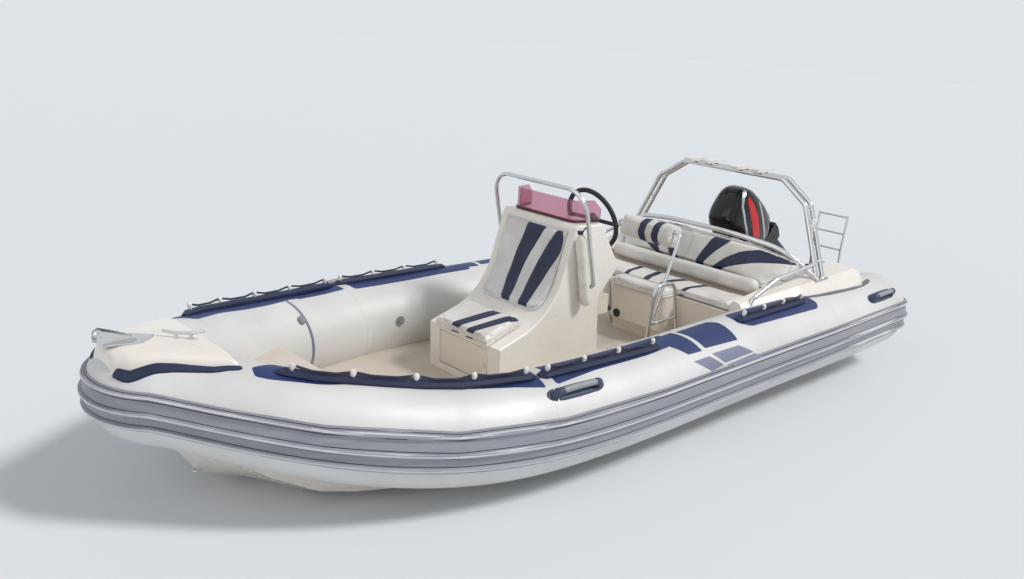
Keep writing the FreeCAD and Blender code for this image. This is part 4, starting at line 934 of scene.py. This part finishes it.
fender_shape = bmesh.new()
spun(fender_shape, FENDER_HALF, 40, Matrix.Translation(FENDER_FOOT) @ FENDER_TURN)
FENDER_VINYL = plastic("off_white_blown_vinyl", "E9E5DB", "D8D1C2", 0.36)
own_piece("fender_body", fender_shape, FENDER_VINYL, smooth=True, stands_for="fender")
tie = bmesh.new()
EYE = FENDER_FOOT + (FENDER_HEAD - FENDER_FOOT).normalized() * 0.428
RAIL_SPOT = Vector((0.104, 0.380, 1.146))
CORD, WHIPPING = 0.0042, 0.0040
swept(tie, [EYE + Vector((0.010, -0.014, 0)), EYE + Vector((0, 0, 0.006)),
            EYE + Vector((-0.008, 0.014, 0.004)), EYE.lerp(RAIL_SPOT, 0.5), RAIL_SPOT], [1] * 5, CORD)
for lift, reach in ((-0.010, 0.0135), (-0.003, 0.0135), (0.004, 0.0125)):
    turns = [math.radians(turn) for turn in range(0, 400, 36)]
    ring = [EYE + Vector((reach * math.cos(turn), reach * math.sin(turn), lift)) for turn in turns]
    swept(tie, ring, [1] * len(ring), WHIPPING)
own_piece("fender_tie", tie, DARK_BRAID, stands_for="fender")
print("fender", len(FENDER_HALF))

# %% [markdown]
# ## Dash and small fittings
# The aft slope of the console carries two big dials, a small one and a row of switches. A
# dial is a spun bezel with a dark face, and its ticks are short raised bars, with no figures.

# %% Dials and switches
DASH_LOW, DASH_HIGH = Vector((-0.283, 0, 0.855)), Vector((-0.100, 0, 1.128))
DASH_UP = (DASH_HIGH - DASH_LOW).normalized()
DASH_OUT = Vector((-DASH_UP.z, 0, DASH_UP.x))
DASH_TURN = Matrix((Vector((0, -1, 0)), DASH_UP, DASH_OUT)).transposed().to_4x4()


def on_dash(side, up):
    """The place and turn of a fitting on the dash: metres to port, and up the slope."""
    return Matrix.Translation(DASH_LOW + DASH_UP * up + Vector((0, side, 0))) @ DASH_TURN


RIM = [(0.80, 0.003), (0.86, 0.009), (0.96, 0.010), (1.0, 0.006), (1.0, -0.002)]
FACE_SHARE, FACE_THICK = 0.84, 0.006
TICKS, TICK_FIRST, TICK_APART, TICK_WIDE = 11, -120, 24, 0.0014
NEEDLE_TURN, NEEDLE_WIDE = 118, 0.0016
DIALS = [(-0.150, 0.250, 0.043), (-0.150, 0.145, 0.043), (0.170, 0.262, 0.026)]
SWITCHES, SWITCH_SIZE = 6, 0.018
SWITCH_FIRST, SWITCH_APART, SWITCH_UP = 0.225, 0.026, 0.060


def dial(rims, faces, marks, side, up, radius):
    """Add one instrument: a spun rim, a dark face, eleven ticks and a needle."""
    place = on_dash(side, up)
    spun(rims, [(radius * share, height) for share, height in RIM], 48, place)
    face = radius * FACE_SHARE
    bmesh.ops.create_cone(faces, segments=48, radius1=face, radius2=face, depth=FACE_THICK,
                          cap_ends=True, matrix=place @ Matrix.Translation((0, 0, 0.001)))
    for number in range(TICKS):
        turn = Matrix.Rotation(math.radians(TICK_FIRST + TICK_APART * number), 4, "Z")
        spot = place @ turn @ Matrix.Translation((0, radius * 0.68, 0.0045)) @ Matrix.Diagonal((1, 6, 0.6, 1))
        bmesh.ops.create_cube(marks, size=TICK_WIDE, matrix=spot)
    turn = Matrix.Rotation(math.radians(NEEDLE_TURN), 4, "Z")
    needle = Matrix.Translation((0, radius * 0.3, 0.0048)) @ Matrix.Diagonal((1, radius * 350, 0.6, 1))
    spot = place @ turn @ needle
    bmesh.ops.create_cube(marks, size=NEEDLE_WIDE, matrix=spot)


rims, dial_faces, dial_marks = bmesh.new(), bmesh.new(), bmesh.new()
for row in DIALS:
    dial(rims, dial_faces, dial_marks, *row)
own_piece("dial_rims", rims, STEEL)
own_piece("dial_faces", dial_faces, DARK_PLASTIC)
own_piece("dial_marks", dial_marks, WHITE_NYLON)
switches = bmesh.new()
for number in range(SWITCHES):
    spot = on_dash(SWITCH_FIRST - SWITCH_APART * number, SWITCH_UP) @ Matrix.Diagonal((0.9, 1.5, 0.5, 1))
    bmesh.ops.create_cube(switches, size=SWITCH_SIZE, matrix=spot)
eased(switches, 0.0018)
own_piece("dash_switches", switches, DARK_PLASTIC)
print("dials", len(DIALS))

# %% [markdown]
# The last small fittings are a bare plate on the arch's port leg, a lamp socket on the seat
# box, and the black knob of the throttle. Each is spun or bevelled from one shape.

# %% Small fittings
KNOB, KNOB_RADIUS, LEVER_THICK = (-0.243, 0.296, 0.596), 0.017, 0.010
LEVER = [(-0.205, 0.284, 0.602), (-0.224, 0.290, 0.600), (-0.240, 0.295, 0.597)]
knob = bmesh.new()
bmesh.ops.create_uvsphere(knob, u_segments=24, v_segments=16, radius=KNOB_RADIUS,
                          matrix=Matrix.Translation(KNOB))
swept(knob, LEVER, [1, 1, 1], LEVER_THICK)
own_piece("throttle_knob", knob, DARK_PLASTIC, smooth=True)
SOCKET = [(0, 0.004), (0.018, 0.004), (0.021, 0.009), (0.028, 0.008), (0.030, 0.001), (0.030, -0.004)]
SOCKET_SPOT = (-0.850, -0.150, 0.346)
socket = bmesh.new()
forward = Matrix.Rotation(math.radians(90), 4, "Y")
spun(socket, SOCKET, 32, Matrix.Translation(SOCKET_SPOT) @ forward)
own_piece("seat_box_socket", socket, DARK_PLASTIC)
TAG_SPOT, TAG_SIZE, LEG_LEAN = (-1.781, 0.690, 1.049), (0.074, 0.008, 0.078), -14
arch_plate = bmesh.new()
lean = Matrix.Rotation(math.radians(LEG_LEAN), 4, "X") @ Matrix.Diagonal((*TAG_SIZE, 1))
bmesh.ops.create_cube(arch_plate, size=1.0, matrix=Matrix.Translation(TAG_SPOT) @ lean)
eased(arch_plate, 0.002)
own_piece("arch_plate", arch_plate, WHITE_NYLON)
print("small fittings", 3)

# %% [markdown]
# ## Cushions and pads
# A sewn cushion is a bag of vinyl round foam: the foam pushes, the seams hold, so the faces
# crown. Each packed block becomes an even skin of quads, is blown up a little as cloth, is held
# flat where it rests, and is smoothed once. A cap on each corner's move keeps the pad's size.

# %% Swell a packed block
SWELL_FRAMES = 20
SWELL_PRESSURE = 4.0
REST_FACING, REST_SOFT = 0.8, 0.4


def even_copy(name, node, voxel, shrink, spread, round_low=0.0):
    """The block as an even, slightly smaller mesh of quads; it may be wider, with round low corners."""
    shape = bmesh.new()
    shape.from_mesh(nodes[node].data)
    bmesh.ops.remove_doubles(shape, verts=shape.verts[:], dist=1e-5)
    bmesh.ops.scale(shape, vec=(1, spread, 1), verts=shape.verts[:])
    if round_low:
        low = min(corner.co.z for corner in shape.verts)
        widest = max(corner.co.y for corner in shape.verts)
        for corner in shape.verts:
            rise = min(1.0, (corner.co.z - low) / round_low)
            corner.co.y *= 1 - (1 - math.sqrt(1 - (1 - rise) ** 2)) * round_low / widest
    piece = stand(name, shape)
    remesh = piece.modifiers.new("even_quads", "REMESH")
    remesh.mode = "VOXEL"
    remesh.voxel_size = voxel
    settle(piece)
    co, facing = read_shape(piece)
    move_corners(piece, co - facing * shrink)
    return piece


def settle(piece):
    """Apply a piece's modifiers to its mesh."""
    graph = bpy.context.evaluated_depsgraph_get()
    mesh = bpy.data.meshes.new_from_object(piece.evaluated_get(graph))
    piece.modifiers.clear()
    piece.data = mesh


def rows_of(items, key):
    """What a key says of each item, as rows of three."""
    found = np.empty(len(items) * 3)
    items.foreach_get(key, found)
    return found.reshape(-1, 3)


def read_shape(piece):
    """The places of a piece's corners, and the ways they face."""
    return rows_of(piece.data.vertices, "co"), rows_of(piece.data.vertex_normals, "vector")


def move_corners(piece, co):
    piece.data.vertices.foreach_set("co", co.ravel())


def swell(piece, cap, rests):
    """Blow the piece up as cloth; no corner moves past the cap, nor out of a face that rests."""
    start, facing = read_shape(piece)
    cloth = piece.modifiers.new("swell", "CLOTH")
    cloth.settings.use_pressure = True
    cloth.settings.uniform_pressure_force = SWELL_PRESSURE
    cloth.settings.effector_weights.gravity = 0
    cloth.collision_settings.use_collision = False
    cloth.point_cache.frame_start = 1
    cloth.point_cache.frame_end = SWELL_FRAMES
    for frame_number in range(1, SWELL_FRAMES + 1):
        scene.frame_set(frame_number)
    settle(piece)
    move = read_shape(piece)[0] - start
    far = np.linalg.norm(move, axis=1)
    move *= np.minimum(1, cap / np.maximum(far, 1e-9))[:, None]
    for way in rests:
        free = np.clip((REST_FACING - facing @ np.array(way)) / REST_SOFT, 0, 1)
        move *= free[:, None]
    move_corners(piece, start + move)
    scene.frame_set(1)


# %% [markdown]
# Navy vinyl is let into the pale covers, with a seam round each inset. Two attributes give
# every corner its distance to the insets and to the seams, in metres. They draw the edge of
# the colour in the material, and press the groove of the seam.

# %% Insets and seams


def rounded(outline, times=3, near=0.82, far=0.18):
    """Cut the corners of a closed outline until it runs smooth."""
    ring = np.array(outline, float)
    for _ in range(times):
        following = np.roll(ring, -1, axis=0)
        ring = np.stack([ring * near + following * far, ring * far + following * near], 1).reshape(-1, 2)
    return ring


def depth_inside(points, ring):
    """How deep points lie inside a closed outline; outside it the depth is below zero."""
    nearest = np.full(len(points), 9.0)
    inside = np.zeros(len(points), bool)
    for one, other in zip(ring, np.roll(ring, -1, axis=0)):
        along = other - one
        share = np.clip((points - one) @ along / (along @ along + 1e-12), 0, 1)
        nearest = np.minimum(nearest, np.linalg.norm(points - one - share[:, None] * along, axis=1))
        crosses = (one[1] > points[:, 1]) != (other[1] > points[:, 1])
        rise = other[1] - one[1] if other[1] != one[1] else 1e-12
        inside ^= crosses & (points[:, 0] < one[0] + (points[:, 1] - one[1]) / rise * along[0])
    return np.where(inside, nearest, -nearest)


def deepest(points, outlines):
    found = np.full(len(points), -1.0)
    for outline in outlines:
        found = np.maximum(found, depth_inside(points, rounded(outline)))
    return found


SEAM_WIDE = 0.0045
SEAM_DEEP = 0.0028
TURNED_AWAY = 0.25


def sew(piece, axes, insets, seams, side=None):
    """Write the two distances and press the grooves, on faces that look to a side if one is given."""
    co, facing = read_shape(piece)
    flat = co[:, list(axes)]
    inset = deepest(flat, insets)
    seam = -np.abs(deepest(flat, seams)) if seams else np.full(len(co), -1.0)
    seam = np.maximum(seam, -np.abs(inset))
    if side is not None:
        away = facing @ np.array(side) < TURNED_AWAY
        inset[away] = -1.0
        seam[away] = -1.0
    press = SEAM_DEEP * np.exp(-(seam / SEAM_WIDE) ** 2)
    move_corners(piece, co - facing * press[:, None])
    for name, values in (("inset", inset), ("seam", seam)):
        layer = piece.data.attributes.new(name, "FLOAT", "POINT")
        layer.data.foreach_set("value", values.astype(np.float32))


# %% [markdown]
# Marine vinyl is a satin PVC skin with a fine leather grain. It creases softly where it is
# pulled to a seam, and seams darken first. The 1 mm grain is drawn at 3 mm so that it shows.

# %% Marine vinyl
GRAIN = 0.003


def vinyl(name, pale, aged):
    """Grained vinyl with let-in navy, soft creases and dirty seams."""
    material, shader, place = begin(name)
    inset = add(material, "ShaderNodeAttribute", attribute_name="inset").outputs["Fac"]
    seam = add(material, "ShaderNodeAttribute", attribute_name="seam").outputs["Fac"]
    ground = drift(material, place, 5.0, 4.0, 0.38, 0.68, pale, aged)
    blue = drift(material, place, 9.0, 4.0, 0.4, 0.7, "0B1838", "152346")
    tone = mix(material, between(material, inset, -0.0006, 0.0006), ground, blue)
    tone = mix(material, between(material, seam, -0.0045, -0.0005, 0.0, 0.28), tone, linear("5D5B5A"))
    worn = cloud(material, place, 30.0)
    feed(material, shader, {"Base Color": tone, "Roughness": between(material, worn, 0.3, 0.7, 0.36, 0.50)})
    crease = cloud(material, place, 16.0, 2.0)
    both = add(material, "ShaderNodeMath", {0: crease, 1: 7.0, 2: cells(material, place, GRAIN)},
               operation="MULTIPLY_ADD").outputs[0]
    dent(material, shader, both, 0.0006, 0.5)
    return material


PALE_VINYL = vinyl("pale_grey_marine_vinyl", "DDDCDA", "CDC9C3")
WHITE_VINYL = vinyl("off_white_marine_vinyl", "E3E0DA", "D4CFC6")
print("vinyl ready")

# %% [markdown]
# Each cushion is one line: which block, how fine its skin is, how far it shrinks and may swell,
# where its insets and seams lie, and where it rests. Outlines are in millimetres, seen flat on.

# %% Sewn pieces
MM = 0.001
PAD_CORNER = 0.07
UP, FORE, AFT = (0, 0, 1), (1, 0, 0), (-1, 0, 0)
X, Y, Z = 0, 1, 2


def port_and_starboard(outlines, across):
    """Outlines and their mirror images; across tells which of the two numbers is Y."""
    turned = [[(-a, b) if across == 0 else (a, -b) for a, b in outline][::-1] for outline in outlines]
    return list(outlines) + turned


def metres(outlines):
    return [[(a * MM, b * MM) for a, b in outline] for outline in outlines]


CONSOLE_INSETS = [
    [(-60, 1180), (84, 1180), (92, 1093), (60, 1010), (23, 923), (0, 850), (-9, 778), (9, 653), (20, 560),
     (-90, 560), (-56, 648), (-80, 700), (-102, 757), (-98, 840), (-91, 917), (-64, 1032)],
    [(205, 1124), (242, 1068), (252, 991), (234, 925), (195, 845), (162, 742), (155, 658), (160, 560),
     (74, 560), (86, 653), (70, 768), (97, 880), (144, 1007), (180, 1082)],
]
CONSOLE_SEAM = [[(-254, 1100), (0, 1100), (254, 1100), (258, 900), (254, 740), (222, 656), (0, 640),
                 (-222, 656), (-254, 740), (-258, 900)]]
FRONT_INSETS = [[(688, -101), (688, -60), (688, -30), (440, 103), (430, 91), (440, 28)],
                [(688, 30), (688, 60), (688, 96), (440, 230), (430, 217), (440, 160)]]
FRONT_SEAM = [[(672, -226), (672, 226), (430, 228), (430, -228)]]
BENCH_INSETS = port_and_starboard([
    [(-960, 42), (-960, 87), (-1070, 102), (-1137, 113), (-1320, 165), (-1330, 128), (-1160, 68),
     (-1080, 55)],
    [(-960, 216), (-960, 262), (-1073, 272), (-1320, 318), (-1330, 275), (-1160, 250), (-1056, 236)],
], 1)
BENCH_SEAM = port_and_starboard([[(-1016, 4), (-1016, 624), (-1280, 624), (-1280, 4)]], 1)
DRIVER_SEAM = [[(-838, -222), (-838, 222), (-980, 222), (-980, -222)]]
BACK_INSETS = port_and_starboard([
    [(60, 630), (85, 710), (108, 780), (138, 854), (165, 900), (175, 960), (310, 960), (290, 893), (275, 868),
     (202, 793), (152, 718), (110, 630)],
    [(160, 640), (230, 705), (301, 780), (391, 837), (521, 872), (609, 853), (723, 812), (730, 797),
     (651, 800), (523, 787), (406, 753), (312, 713), (230, 640)],
], 0)
BACK_SEAM = port_and_starboard([[(3, 660), (3, 893), (250, 893), (560, 880), (700, 826), (712, 700),
                                 (690, 662)]], 0)
ROLL_INSETS = [[(left, 1100), (left + width, 1100), (left + width, 800), (left, 800)]
               for left, width in ((-50, 56), (62, 55))]


def sewn_piece(node, voxel, shrink, cap, axes, insets, seams, side, rests=((0, 0, -1),),
               finish=WHITE_VINYL, body="boat", spread=1.0):
    """Make one padded piece from its packed block; sizes are in metres."""
    piece = even_copy("sewn_" + node, node, voxel, shrink, spread, PAD_CORNER if spread > 1 else 0.0)
    swell(piece, cap, rests)
    finer(piece, 1)
    settle(piece)
    sew(piece, axes, metres(insets), metres(seams), side)
    shade_smooth(piece)
    piece.data.materials.clear()
    piece.data.materials.append(finish)
    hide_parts(node)
    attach(piece, body)
    print(piece.name, len(piece.data.polygons))


sewn_piece("console_pad", 0.007, 0.005, 0.010, (Y, Z), CONSOLE_INSETS, CONSOLE_SEAM, FORE, [AFT],
           PALE_VINYL, spread=1.13)
sewn_piece("front_cushion", 0.006, 0.005, 0.012, (X, Y), FRONT_INSETS, FRONT_SEAM, UP)
sewn_piece("driver_cushion", 0.006, 0.005, 0.012, (X, Y), [], DRIVER_SEAM, UP)
sewn_piece("bench_cushion", 0.009, 0.006, 0.013, (X, Y), BENCH_INSETS, BENCH_SEAM, UP)
sewn_piece("bench_roll", 0.008, 0.005, 0.009, (Y, Z), [], [], None)
sewn_piece("bench_backrest", 0.010, 0.006, 0.012, (Y, Z), BACK_INSETS, BACK_SEAM, FORE, [AFT])
sewn_piece("backrest_roll", 0.006, 0.005, 0.009, (Y, Z), ROLL_INSETS, [], None, [], body="seat_back")

# %% [markdown]
# ## Water, backdrop and light
# The floor lies at the still water's level, a pale sheet under a pale, even sky. Seen
# directly, in metal or through glass, the sky is a little brighter than the light it gives.
# A distant lamp high over the port quarter models the tubes, and a weaker one fills from ahead.

# %% Floor
floor_shape = bmesh.new()
bmesh.ops.create_grid(floor_shape, x_segments=4, y_segments=4, size=60)
floor = stand("still_water_floor", floor_shape)
floor_paint, floor_shader = begin("pale_studio_floor")[:2]
feed(floor_paint, floor_shader, {"Base Color": linear("DDE0E3"), "Roughness": 0.6})
floor.data.materials.append(floor_paint)

# %% Sky and lamps
world = bpy.data.worlds.new("pale_sky")
scene.world = world
world.use_nodes = True
sky = feed(world, world.node_tree.nodes["Background"], {"Color": linear("E6EAF0"), "Strength": 0.55})
seen = add(world, "ShaderNodeBackground", {"Color": linear("DFE3E8")})
rays = add(world, "ShaderNodeLightPath").outputs
plain = higher(world, rays["Is Camera Ray"], rays["Is Glossy Ray"])
plain = higher(world, plain, rays["Is Transmission Ray"])
choose = add(world, "ShaderNodeMixShader", {0: plain, 1: sky.outputs[0], 2: seen.outputs[0]})
feed(world, world.node_tree.nodes["World Output"], {0: choose.outputs[0]})


def lamp(name, source, spread, share):
    """A distant lamp that shines from a direction and gives that share of a plain level."""
    light = bpy.data.lights.new(name, "SUN")
    light.angle = math.radians(spread)
    light.energy = math.pi * share
    item = bpy.data.objects.new(name, light)
    scene.collection.objects.link(item)
    item.rotation_euler = (-Vector(source)).to_track_quat("-Z", "Y").to_euler()
    print(name, round(light.energy, 2))


lamp("quarter_lamp", (-0.45, 0.62, 0.85), 12, 0.66)
lamp("bow_lamp", (0.9, 0.1, 0.5), 60, 0.14)
scene.view_settings.view_transform = "Standard"
